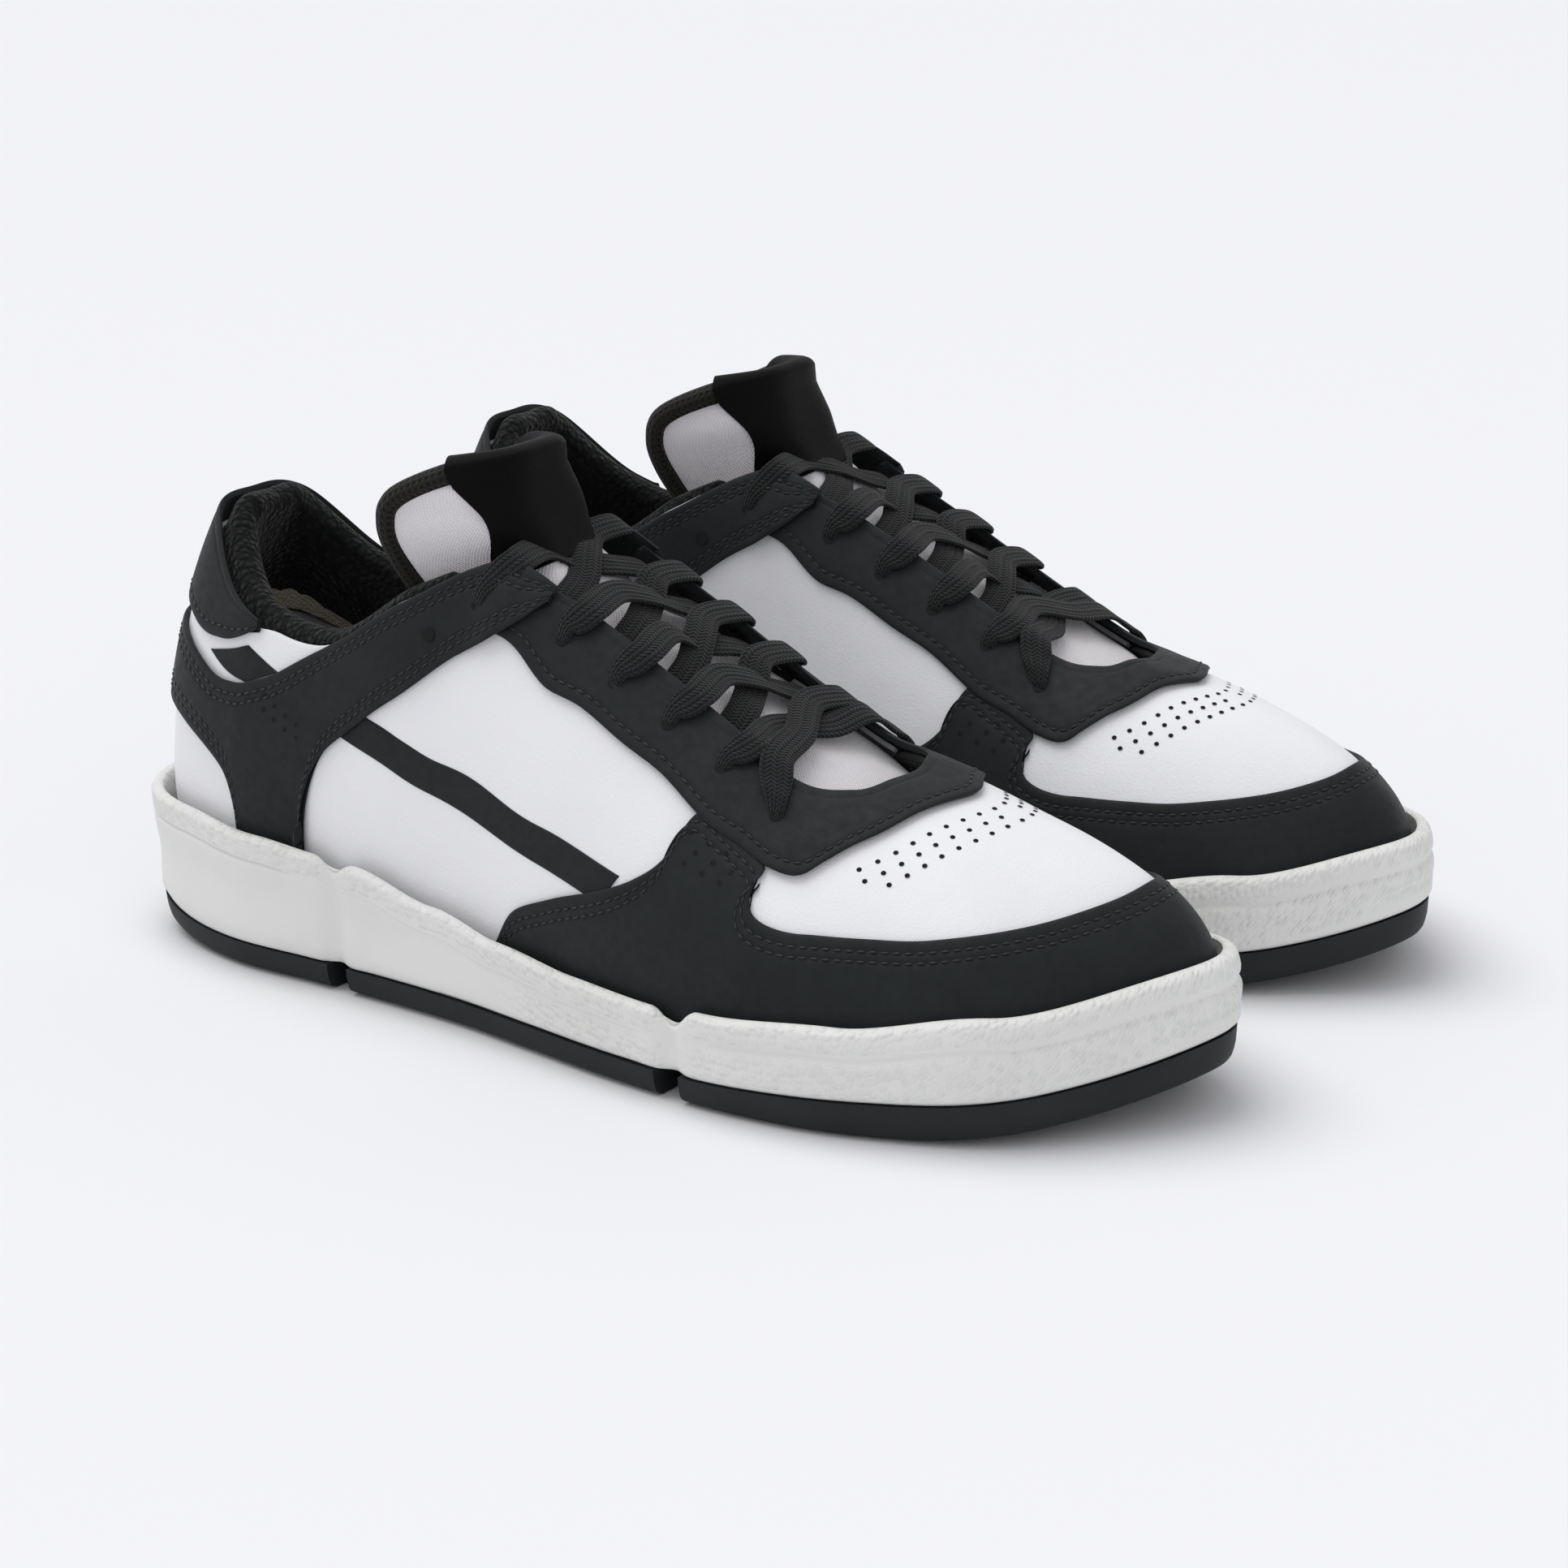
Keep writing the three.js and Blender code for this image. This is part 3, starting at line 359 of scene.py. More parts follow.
# %% A small kit for finishes
class Finish:
    def __init__(self, name, colour, roughness, sheen=0.0, specular=0.5):
        self.material = bpy.data.materials.new(name)
        self.material.use_nodes = True
        self.tree = self.material.node_tree
        self.shader = self.tree.nodes["Principled BSDF"]
        self.shader.inputs["Base Color"].default_value = (*colour, 1)
        self.shader.inputs["Roughness"].default_value = roughness
        self.shader.inputs["Sheen Weight"].default_value = sheen
        self.shader.inputs["Sheen Roughness"].default_value = 0.5
        self.shader.inputs["Specular IOR Level"].default_value = specular
        self.coordinates = self.node("ShaderNodeTexCoord")
        self.colour = colour

    def node(self, kind, **settings):
        node = self.tree.nodes.new(kind)
        for name, value in settings.items():
            setattr(node, name, value)
        return node

    def join(self, output, socket):
        self.tree.links.new(output, socket)

    def maths(self, operation, a, b=None):
        node = self.node("ShaderNodeMath", operation=operation)
        for i, value in enumerate((a, b)):
            if value is None:
                continue
            if isinstance(value, (int, float)):
                node.inputs[i].default_value = value
            else:
                self.join(value, node.inputs[i])
        return node.outputs[0]

    def noise(self, scale, detail=3, roughness=0.5):
        node = self.node("ShaderNodeTexNoise")
        self.join(self.coordinates.outputs["Object"], node.inputs["Vector"])
        node.inputs["Scale"].default_value = scale
        node.inputs["Detail"].default_value = detail
        node.inputs["Roughness"].default_value = roughness
        return node.outputs["Fac"]

    def clouds(self, scale, detail, low, high, roughness=0.5):
        """Soft patches: noise stretched so that it runs from 0 to 1."""
        return self.remap(self.noise(scale, detail, roughness), low, high, 0, 1)

    def cells(self, scale, randomness=1.0, source="Object"):
        node = self.node("ShaderNodeTexVoronoi", feature="F1")
        self.join(self.coordinates.outputs[source], node.inputs["Vector"])
        node.inputs["Scale"].default_value = scale
        node.inputs["Randomness"].default_value = randomness
        return node.outputs["Distance"]

    def along_across(self):
        node = self.node("ShaderNodeSeparateXYZ")
        self.join(self.coordinates.outputs["UV"], node.inputs[0])
        return node.outputs["X"], node.outputs["Y"]

    def wave(self, value, pitch):
        return self.maths("SINE", self.maths("MULTIPLY", value, 2 * math.pi / pitch))

    def plain_weave(self, pitch):
        warp, weft = self.along_across()
        return self.maths("MULTIPLY", self.wave(warp, pitch), self.wave(weft, pitch))

    def remap(self, value, from_low, from_high, to_low, to_high):
        node = self.node("ShaderNodeMapRange")
        self.join(value, node.inputs["Value"])
        for name, number in zip(("From Min", "From Max", "To Min", "To Max"),
                                (from_low, from_high, to_low, to_high)):
            node.inputs[name].default_value = number
        return node.outputs[0]

    def paint(self, amount, other):
        """The base colour turns towards another colour where amount is 1."""
        node = self.node("ShaderNodeMix", data_type="RGBA")
        node.inputs[6].default_value = (*self.colour, 1)
        node.inputs[7].default_value = (*other, 1)
        self.join(amount, node.inputs[0])
        self.join(node.outputs[2], self.shader.inputs["Base Color"])
        return self

    def rough(self, value):
        self.join(value, self.shader.inputs["Roughness"])
        return self

    def bump(self, height, depth):
        """Stacks one more bump, with its depth in millimetres."""
        node = self.node("ShaderNodeBump")
        node.inputs["Strength"].default_value = 1
        node.inputs["Distance"].default_value = depth / 1000
        self.join(height, node.inputs["Height"])
        normal = self.shader.inputs["Normal"]
        if normal.is_linked:
            self.join(normal.links[0].from_socket, node.inputs["Normal"])
        self.join(node.outputs[0], normal)
        return self

    def on(self, piece):
        piece.data.materials.clear()
        piece.data.materials.append(self.material)
        return piece


# %% White leather
white_leather = Finish("white_leather", (0.86, 0.86, 0.872), 0.5, specular=0.3)
white_leather.paint(white_leather.clouds(28, 4, 0.35, 0.75), (0.82, 0.82, 0.84))
white_leather.bump(white_leather.noise(60, 2), 0.35)
white_leather.bump(white_leather.cells(1500), 0.05)
white_leather.bump(white_leather.noise(2600, 2), 0.03)

# %% Black leather, brushed to a fine nap
black_leather = Finish("black_leather", (0.0085, 0.0108, 0.0112), 0.66, sheen=0.05, specular=0.2)
black_leather.paint(black_leather.clouds(55, 5, 0.35, 0.7, 0.6), (0.0125, 0.0152, 0.0158))
black_leather.rough(black_leather.remap(black_leather.noise(400, 4), 0.3, 0.7, 0.55, 0.72))
black_leather.bump(black_leather.noise(90, 2), 0.25)
black_leather.bump(black_leather.noise(3200, 3, 0.7), 0.06)

# %% Sewing thread
thread = Finish("black_thread", (0.011, 0.0125, 0.0135), 0.5, sheen=0.1, specular=0.4)
thread.bump(thread.noise(5000, 2), 0.05)

# %% Off-white rubber, pebbled where its mask says so
white_rubber = Finish("white_rubber", (0.78, 0.78, 0.755), 0.55, specular=0.3)
pebble_mask = white_rubber.node("ShaderNodeAttribute", attribute_name="pebbled").outputs["Fac"]
pebbles = white_rubber.remap(white_rubber.cells(0.56, 0.55, "UV"), 0.0, 0.62, 1, 0)
white_rubber.paint(white_rubber.clouds(35, 4, 0.4, 0.75), (0.73, 0.73, 0.70))
white_rubber.bump(white_rubber.maths("MULTIPLY", pebbles, pebble_mask), 0.42)
white_rubber.bump(white_rubber.noise(900, 3), 0.05)

# %% Black rubber
black_rubber = Finish("black_rubber", (0.0120, 0.0138, 0.0155), 0.6, specular=0.25)
black_rubber.paint(black_rubber.clouds(45, 4, 0.4, 0.7), (0.017, 0.019, 0.021))
black_rubber.bump(black_rubber.noise(1400, 3), 0.07)

# %% Looped collar cloth, with painted shade between the loops
loop_cloth = Finish("looped_cloth", (0.0050, 0.0055, 0.0055), 0.95, sheen=0.12, specular=0.12)
# Painted light and shade: the loop tops are painted lighter than the gaps between them.
loop_cloth.paint(loop_cloth.remap(loop_cloth.cells(620), 0.1, 0.6, 1, 0), (0.0115, 0.012, 0.012))
loop_cloth.bump(loop_cloth.remap(loop_cloth.cells(620), 0, 0.7, 1, 0), 0.6)
loop_cloth.bump(loop_cloth.noise(1500, 3), 0.2)

# %% Spacer mesh with rows of holes, with painted shade in the holes
spacer_mesh = Finish("spacer_mesh", (0.0120, 0.0110, 0.0075), 0.85, sheen=0.1, specular=0.2)
holes = spacer_mesh.remap(spacer_mesh.cells(0.62, 0.0, "UV"), 0.22, 0.4, 1, 0)
# The holes are the mesh's own pattern; their near-black colour is painted shade inside them.
spacer_mesh.paint(holes, (0.002, 0.002, 0.002))
spacer_mesh.bump(spacer_mesh.maths("SUBTRACT", 1.0, holes), 0.35)

# %% White tongue cloth, a plain weave, with painted shade in its dips
tongue_cloth = Finish("tongue_cloth", (0.84, 0.81, 0.83), 0.8, sheen=0.3, specular=0.3)
weave = tongue_cloth.plain_weave(0.9)
# Painted shade: the weave's low parts are painted darker than its high parts.
tongue_cloth.paint(tongue_cloth.remap(weave, -1, 1, 1, 0), (0.72, 0.69, 0.71))
tongue_cloth.bump(weave, 0.09)
tongue_cloth.bump(tongue_cloth.noise(70, 2), 0.8)

# %% Black satin
satin = Finish("black_satin", (0.0010, 0.0010, 0.0012), 0.5, specular=0.08)
_, weft = satin.along_across()
satin.bump(satin.wave(weft, 0.35), 0.03)
satin.bump(satin.noise(60, 2), 0.3)

# %% Flat braid for the lace: cords side by side, each a row of slanted picks; painted shade in its grooves
braid = Finish("black_braid", (0.0040, 0.0044, 0.0046), 0.8, sheen=0.1, specular=0.18)
run, width = braid.along_across()
cords = braid.maths("ABSOLUTE", braid.wave(width, 2.9))
zigzag = braid.maths("PINGPONG", width, 1.45)
picks = braid.wave(braid.maths("ADD", run, braid.maths("MULTIPLY", zigzag, 0.8)), 1.15)
braid_height = braid.maths("ADD", cords, braid.maths("MULTIPLY", picks, 0.35))
# Painted light and shade: the raised cords and picks are painted lighter than the grooves.
braid.paint(braid.remap(braid_height, 0.1, 1.2, 0, 1), (0.0105, 0.0113, 0.0118))
braid.bump(braid_height, 0.3)

# %% Foam, board, and what is inside
foam = Finish("foam", (0.56, 0.50, 0.40), 0.9, specular=0.2)
foam.paint(foam.remap(foam.cells(1400), 0.1, 0.6, 0, 1), (0.47, 0.41, 0.32))
foam.bump(foam.cells(1400), 0.3)
board = Finish("fibreboard", (0.48, 0.44, 0.37), 0.85, specular=0.2)
board.paint(board.clouds(700, 4, 0.4, 0.7), (0.38, 0.34, 0.28))
board.bump(board.noise(1800, 4), 0.1)
lining_cloth = Finish("lining_cloth", (0.008, 0.0085, 0.0085), 0.95, sheen=0.2, specular=0.2)
weave = lining_cloth.plain_weave(1.6)
# Painted shade: the weave's low parts are painted darker than its high parts.
lining_cloth.paint(lining_cloth.remap(weave, -1, 1, 0, 1), (0.016, 0.0165, 0.0165))
lining_cloth.bump(weave, 0.2)
print("finishes made:", len(bpy.data.materials))

# %% [markdown]
# ## The sole
# A cup sole is a rubber tray with a foam midsole inside it and black rubber pads under it. Each
# part is a stack of outlines, one above the other. A stack starts as a flat grid, whose columns
# are wrapped round the foot and whose rows climb the wall. Rows that run on to the middle line
# close it at the bottom and the top once the doubled points are merged.

# %% A stack of outlines, closed below and above
# How far the cup's inner and outer faces stand outside the last, in mm.
WALL_IN = 2.86
WALL_OUT = 6.26


def stations(k0, k1, spacing):
    """Ribs out along one side and back along the other, evenly spaced along the foot."""
    k = np.linspace(k0, k1, 1500)
    run = np.r_[0, np.cumsum(np.linalg.norm(np.diff(surface(k, 0), axis=0), axis=-1))]
    side = np.interp(np.linspace(0, run[-1], int(run[-1] / spacing) + 1), run, k)
    return np.r_[side, LOOP - side[::-1]]


def stacked(name, ks, rings, caps=4):
    """A closed shape through rings of (distance outwards, level), closed by caps of rows."""
    loops = []
    for out, level in rings:
        x = surface(ks, 0)[..., 0]
        loops.append(outline(ks, level(x), out(x) if callable(out) else out))
    points = np.stack(loops, 1)
    middle = (points + points[::-1]) / 2
    shares = np.linspace(1, 0, caps, endpoint=False)[None, :, None]
    below = mix(points[:, :1], middle[:, :1], shares)
    above = mix(points[:, -1:], middle[:, -1:], shares[:, ::-1])
    points = np.concatenate([below, points, above], 1)
    points = np.concatenate([points, points[:1]], 0)
    piece = merged(laid_grid(name, points), 0.004)
    bpy.ops.object.shade_smooth_by_angle(angle=math.radians(50))
    return piece


# %% [markdown]
# The cup's wall has a pebbled band under its rim. Round the toe a smooth channel runs below the
# band, and at the heel a thin line does; the channel's long stitches are not modelled. Two upright
# recesses stand on each side, and the rim dips at each of them.

# %% The cup
NOTCHES = (80, 190)
BAND = 6.5


def notch(x):
    return sum(2.2 * np.exp(-((x - at) / 3.2) ** 2) for at in NOTCHES)


def wall_depth(x, below):
    """How far the wall stands back at a distance below the rim."""
    height = rim(x) - rubber_top(x)
    channel = 0.95 * np.exp(-((below - BAND) / 1.2) ** 2) * ease(196, 204, x)
    line = 0.6 * np.exp(-((below - BAND) / 0.45) ** 2) * (1 - ease(60, 72, x))
    step = 0.35 * ease(BAND - 0.3, BAND + 0.5, below) * ease(84, 92, x) * (1 - ease(178, 186, x))
    foot = 1.3 * np.clip(1 - (height - below) / 2.0, 0, 1) ** 2
    lip = 1.5 * np.clip(1 - below / 1.3, 0, 1) ** 2
    return notch(x) + channel + line + step + foot + lip


def wall_ring(below):
    """One ring of the wall, at a distance below the rim that may change along the shoe."""
    return lambda x: WALL_OUT - wall_depth(x, below(x)), lambda x: rim(x) - below(x)


DETAIL_DEPTH = 10
cup_rows = [0, 0.3, 0.7, 1.3, 2.2, 3.2, 4.2, 5.0, 5.5, 5.9, 6.2, 6.5, 6.8, 7.1, 7.5, 8.1, 9,
            DETAIL_DEPTH]
cup_rings = [(WALL_IN, lambda x: rim(x) - 2.5), (WALL_IN + 0.3, lambda x: rim(x) - 0.5),
             (WALL_IN + 0.9, lambda x: rim(x) - 0.05)]
cup_rings += [wall_ring(lambda x, b=below: b) for below in cup_rows]
cup_rings += [wall_ring(lambda x, s=share: mix(DETAIL_DEPTH, rim(x) - rubber_top(x), s))
              for share in np.linspace(0, 1, 9)[1:]]
cup_rings.reverse()
cup_rings.append((WALL_IN, lambda x: rubber_top(x) + 3))
cup = stacked("right_cup", stations(0, TOE, 1.0), cup_rings)

# %% The cup's pebbled mask
places = np.empty(len(cup.data.vertices) * 3, np.float32)
cup.data.vertices.foreach_get("co", places)
places = places.reshape(-1, 3) * 1000
x = places[:, 0] + SHOE_LENGTH / 2
below = rim(x) - places[:, 2]
height = rim(x) - rubber_top(x)
band = 1 - ease(5.0, 5.8, below)
lower = ease(7.3, 8.2, below) * (1 - ease(height - 1.6, height - 0.6, below)) * ease(128, 150, x)
clear = 1 - np.clip(notch(x) / 1.2, 0, 1)
mask = cup.data.attributes.new("pebbled", "FLOAT", "POINT")
mask.data.foreach_set("value", (np.maximum(band, lower) * clear).astype(np.float32))
settle(cup, white_rubber, "shoe", ["cupsole"])

# %% Black rubber pads with rounded lower edges
pad_rings = [(WALL_OUT - d, lambda x, z=z: ground(x) + z)
             for d, z in ((4.2, 0), (3.0, 0.35), (2.2, 0.9), (1.6, 1.8), (1.2, 3.2), (0.9, 4.8))]
pad_rings.append((WALL_OUT - 0.7, lambda x: rubber_top(x) - 0.35))
for part, k0, k1 in (("heel", 0, 3.2), ("arch", 3.44, 7.36), ("forefoot", 7.58, TOE)):
    pad = stacked(f"right_{part}_pad", stations(k0, k1, 1.5), pad_rings)
    settle(pad, black_rubber, "shoe", [f"outsole_{part}"])

# %% The footbed, a thin cushion that dips under the heel
BED_INSET = -6.0


def bed_level(lift):
    return lambda x: foot_level(x) + 1.55 + lift


bed_rings = [(BED_INSET - inwards, bed_level(lift)) for inwards, lift in
             ((0, 0), (0, 2.0), (0.3, 3.0), (1.0, 3.7), (2.2, 3.95), (6, 3.6), (11, 3.1))]
bed = stacked("right_footbed", stations(0, TOE, 2.0), bed_rings, caps=6)
settle(bed, lining_cloth, "shoe", ["footbed"])

# %% [markdown]
# ## White leather
# The quarters cover the sides and the heel, and the vamp covers the toes. They are plain sheets
# on the last, and the black leather is sewn over their edges. Leather is never quite flat, so the
# sheets get a slow, shallow wave.

# %% Sheets of white leather
def slow_wave(points, depth):
    x, y, z = points[..., 0], points[..., 1], points[..., 2]
    broad = np.sin(x / 9.0 + z / 13.0) * np.sin(z / 7.0 - x / 21.0)
    return depth * (broad + 0.5 * np.sin(x / 5.1 + y / 6.3))


def between(k0, k1, low, high, columns, rows):
    k = np.repeat(np.linspace(k0, k1, columns)[:, None], rows, 1)
    share = np.linspace(0, 1, rows)[None, :]
    return k, mix(low(k), high(k), share)


def side_of(k):
    return np.where(k > TOE, LOOP - k, k)


def quarter_top(k):
    side = side_of(k)
    return mix(mix(0.9, 0.972, ease(1.9, 2.5, side)), 0.8, ease(4.3, 4.9, side))


def vamp_top(k):
    return mix(0.74, 0.86, ease(8.4, 9.2, side_of(k)))


def sole_line(k):
    return np.full_like(k, 0.02)


HEEL_SEAM, QUARTER_END, VAMP_START = 0.02, 7.96, 7.98
white_sheets = [("quarter_outer", HEEL_SEAM, QUARTER_END, quarter_top, 220),
                ("quarter_inner", LOOP - QUARTER_END, LOOP - HEEL_SEAM, quarter_top, 220),
                ("vamp", VAMP_START, LOOP - VAMP_START, vamp_top, 200)]
for part, k0, k1, top, columns in white_sheets:
    k, v = between(k0, k1, sole_line, top, columns, 56)
    sheet = laid_grid(f"right_{part}", on_upper(k, v, slow_wave(surface(k, v), 0.12)))
    thicken(sheet, 1.2)
    settle(sheet, white_leather, "shoe", [part])

# %% [markdown]
# ## Black leather
# Each black piece is described by rungs, like a ladder: a place on its lower edge and a place on
# its upper edge. Rows of points lie at set distances from its free edges, so that the leather can
# roll over at the cut edge and sink where the thread pulls it down.

# %% Rungs of the black pieces, [k, v] below and [k, v] above
mudguard_rungs = [
    [5.34, 0.02, 5.36, 0.05], [5.6, 0.02, 5.62, 0.14], [6.1, 0.02, 6.1, 0.21],
    [6.6, 0.02, 6.6, 0.29], [6.85, 0.02, 7.0, 0.38], [6.95, 0.02, 7.25, 0.48],
    [7.0, 0.02, 7.46, 0.66], [7.08, 0.02, 7.75, 0.655], [7.18, 0.02, 8.04, 0.607],
    [7.3, 0.02, 7.99, 0.535], [7.44, 0.02, 7.98, 0.48], [7.64, 0.02, 8.03, 0.443],
    [7.94, 0.02, 8.16, 0.424], [8.25, 0.02, 8.36, 0.419], [8.6, 0.02, 8.6, 0.425],
    [9, 0.02, 9, 0.425], [9.35, 0.02, 9.35, 0.42], [9.7, 0.02, 9.7, 0.42],
    [10.03, 0.02, 10.03, 0.415], [10.36, 0.02, 10.36, 0.405], [10.68, 0.02, 10.68, 0.4],
    [11, 0.02, 11, 0.405],
]
eyestay_rungs = [
    [4.96, 0.75, 5.6, 0.965], [5.28, 0.743, 5.95, 0.98], [5.5, 0.73, 6.12, 0.985],
    [5.9, 0.688, 6.36, 0.985], [6.3, 0.698, 6.6, 0.985], [6.7, 0.688, 6.95, 0.985],
    [7.1, 0.681, 7.3, 0.985], [7.5, 0.638, 7.65, 0.98], [7.8, 0.63, 8, 0.96],
    [8.1, 0.6, 8.25, 0.95], [8.36, 0.6, 8.5, 0.945], [8.6, 0.66, 8.8, 0.945],
    [8.9, 0.72, 9.15, 0.95], [9.35, 0.775, 9.6, 0.96], [9.85, 0.812, 10.05, 0.968],
    [10.45, 0.83, 10.55, 0.97], [11, 0.83, 11, 0.97],
]
strap_rungs = [
    [0, 0.43, 0, 0.65], [0.36, 0.43, 0.36, 0.65], [0.7, 0.43, 0.7, 0.65], [1.02, 0.43, 1.04, 0.65],
    [1.34, 0.425, 1.4, 0.648], [1.7, 0.4, 1.74, 0.655], [1.94, 0.35, 1.96, 0.683],
    [2.06, 0.25, 2.1, 0.705], [2.1, 0.12, 2.2, 0.73], [2.12, 0.02, 2.32, 0.76],
    [2.45, 0.02, 2.5, 0.81], [2.8, 0.02, 2.7, 0.875], [2.81, 0.14, 2.84, 0.915],
    [2.83, 0.28, 2.98, 0.945], [2.9, 0.4, 3.14, 0.965], [3.02, 0.5, 3.3, 0.97],
    [3.22, 0.575, 3.5, 0.967], [3.6, 0.622, 3.8, 0.963], [4.05, 0.652, 4.2, 0.963],
    [4.6, 0.685, 4.7, 0.963], [5.08, 0.718, 5.2, 0.97], [5.46, 0.8, 5.55, 0.975],
    [5.72, 0.905, 5.76, 0.975],
]
heel_tab_rungs = [
    [0, 0.71, 0, 0.985], [0.7, 0.71, 0.7, 0.985], [1.36, 0.715, 1.32, 0.985],
    [1.72, 0.775, 1.66, 0.985], [2.02, 0.86, 1.96, 0.985], [2.26, 0.945, 2.26, 0.985],
]
heel_stripe_rungs = [[1.56, 0.69, 2.12, 0.85], [1.82, 0.69, 2.3, 0.84], [2.12, 0.71, 2.52, 0.82]]
side_stripe_rungs = [
    [3.3, 0.6, 3.5, 0.67], [3.6, 0.528, 3.75, 0.607], [4, 0.447, 4.15, 0.52],
    [4.4, 0.38, 4.55, 0.447], [4.95, 0.318, 5.1, 0.395], [5.5, 0.285, 5.65, 0.366],
    [6.1, 0.273, 6.25, 0.366], [6.66, 0.268, 6.85, 0.367],
]


def flip_side(rungs):
    return [[LOOP - k0, v0, LOOP - k1, v1] for k0, v0, k1, v1 in rungs]


def round_toe(rungs):
    return rungs + flip_side(rungs)[::-1][1:]


def round_heel(rungs):
    return [[-k0, v0, -k1, v1] for k0, v0, k1, v1 in rungs][::-1] + rungs[1:]


# %% Rows at set distances from the free edges
EDGE = np.array([0, 0.2, 0.5, 0.9, 1.6, 2.3, 2.7, 3.0, 3.3, 3.8, 4.5, 5.0, 5.3, 5.6, 6.1, 7.0])
FIRST_ROW, SECOND_ROW = 7, 12
FAR_FROM_EDGE = 99.0


def panel_places(rungs, per_span, low_free, middle):
    """k, v and the distance in mm to each edge for every point of a panel."""
    ends = spline(rungs, np.linspace(0, 1, (len(rungs) - 1) * per_span + 1))
    share = np.linspace(0, 1, 49)
    k, v = mix(ends[:, :1], ends[:, 2:3], share), mix(ends[:, 1:2], ends[:, 3:], share)
    steps = np.linalg.norm(np.diff(surface(k, v), axis=1), axis=-1)
    run = np.concatenate([np.zeros((len(k), 1)), np.cumsum(steps, 1)], 1)
    low = EDGE if low_free else EDGE[:1]
    squeeze = np.minimum(1, run[:, -1] * 0.92 / (low[-1] + EDGE[-1]))[:, None]
    start, end = low[-1] * squeeze, run[:, -1:] - EDGE[-1] * squeeze
    inside = mix(start, end, np.linspace(0, 1, middle + 2)[None, 1:-1])
    at = np.concatenate([low * squeeze, inside, run[:, -1:] - EDGE[::-1] * squeeze], 1)
    edge = np.full(at.shape[1], FAR_FROM_EDGE)
    edge[-len(EDGE):] = EDGE[::-1]
    if low_free:
        edge[:len(EDGE)] = EDGE
    r = np.stack([np.interp(a, b, share) for a, b in zip(at, run)])
    return mix(ends[:, :1], ends[:, 2:3], r), mix(ends[:, 1:2], ends[:, 3:], r), edge


def relief(edge, rows):
    """The roll at a cut edge and the dip along each row of thread."""
    drop = 0.4 * np.clip(1 - edge / 0.9, 0, 1) ** 2
    for row in rows:
        drop = drop + 0.2 * np.exp(-((edge - row) / 0.45) ** 2)
    return -drop


# %% Stitches: one is modelled and copied along each seam
bpy.ops.mesh.primitive_uv_sphere_add(segments=6, ring_count=4, radius=1)
one_stitch = bpy.context.object
STITCH_HALF_THICK = 0.27
bpy.ops.transform.resize(value=(1, STITCH_HALF_THICK, STITCH_HALF_THICK))
bpy.ops.object.transform_apply(location=False, rotation=False, scale=True)


def taken_apart(piece):
    """A small model's points and faces, ready to be copied."""
    spots = np.array([v.co for v in piece.data.vertices])
    faces = [tuple(p.vertices) for p in piece.data.polygons]
    bpy.data.objects.remove(piece)
    return spots, faces


stitch = taken_apart(one_stitch)


def copies(name, model, centres, frames):
    """One mesh of many copies: frames holds each copy's three directions, scaled."""
    spots, faces = model
    points = centres[:, None] + np.einsum("sa,nab->nsb", spots, frames)
    count = len(spots)
    all_faces = [tuple(i + n * count for i in face) for n in range(len(centres)) for face in faces]
    mesh = bpy.data.meshes.new(name)
    mesh.from_pydata(to_pair(points).reshape(-1, 3).tolist(), [], all_faces)
    piece = bpy.data.objects.new(name, mesh)
    bpy.context.scene.collection.objects.link(piece)
    only(piece)
    bpy.ops.object.shade_smooth()
    return piece


STITCH_PITCH, STITCH_LENGTH, STITCH_SINK = 2.7, 2.1, 0.1


def sample(rows, run, at):
    """Rows of coordinates, read off at distances along their run."""
    return np.stack([np.interp(at, run, rows[:, i]) for i in range(3)], -1)


def seam(lines):
    """Centres and frames for stitches along lines of (points, outward directions)."""
    centres, frames = [], []
    for points, outs in lines:
        run = np.r_[0, np.cumsum(np.linalg.norm(np.diff(points, axis=0), axis=-1))]
        at = np.arange(STITCH_PITCH, run[-1] - STITCH_PITCH / 2, STITCH_PITCH)
        out = unit(sample(outs, run, at))
        forward = unit(sample(points, run, at + 0.6) - sample(points, run, at - 0.6))
        sideways = unit(np.cross(out, forward))
        centres.append(sample(points, run, at) + out * (STITCH_HALF_THICK - STITCH_SINK))
        frames.append(np.stack([forward * STITCH_LENGTH / 2, sideways, out], 1))
    return np.concatenate(centres), np.concatenate(frames)


# %% Making a panel and its seams
def panel(part, rungs, per_span, top, low_free=True, rows=("low", "high"), double=True,
          thick=1.5, middle=12):
    """Lay one black piece with its outside top mm off the last, and sew it along its rows."""
    name = f"right_{part}"
    k, v, edge = panel_places(rungs, per_span, low_free, middle)
    dips = ((3.0, 5.3) if double else (3.0,)) if rows else ()
    height = top(k) if callable(top) else top
    out = height + relief(edge, dips)[None, :] + slow_wave(surface(k, v), 0.08)
    points = on_upper(k, v, out)
    piece = laid_grid(name, points)
    thicken(piece, thick, edge=0.2)
    settle(piece, black_leather, "shoe", [part])
    lines = []
    count = points.shape[1]
    for row in rows:
        for step in ((FIRST_ROW, SECOND_ROW) if double else (FIRST_ROW,)):
            r = step if row == "low" else count - 1 - step
            lines.append((points[:, r], outward(k[:, r], v[:, r])))
    if lines:
        sewn = copies(f"{name}_thread", stitch, *seam(lines))
        settle(sewn, thread, "shoe", [])


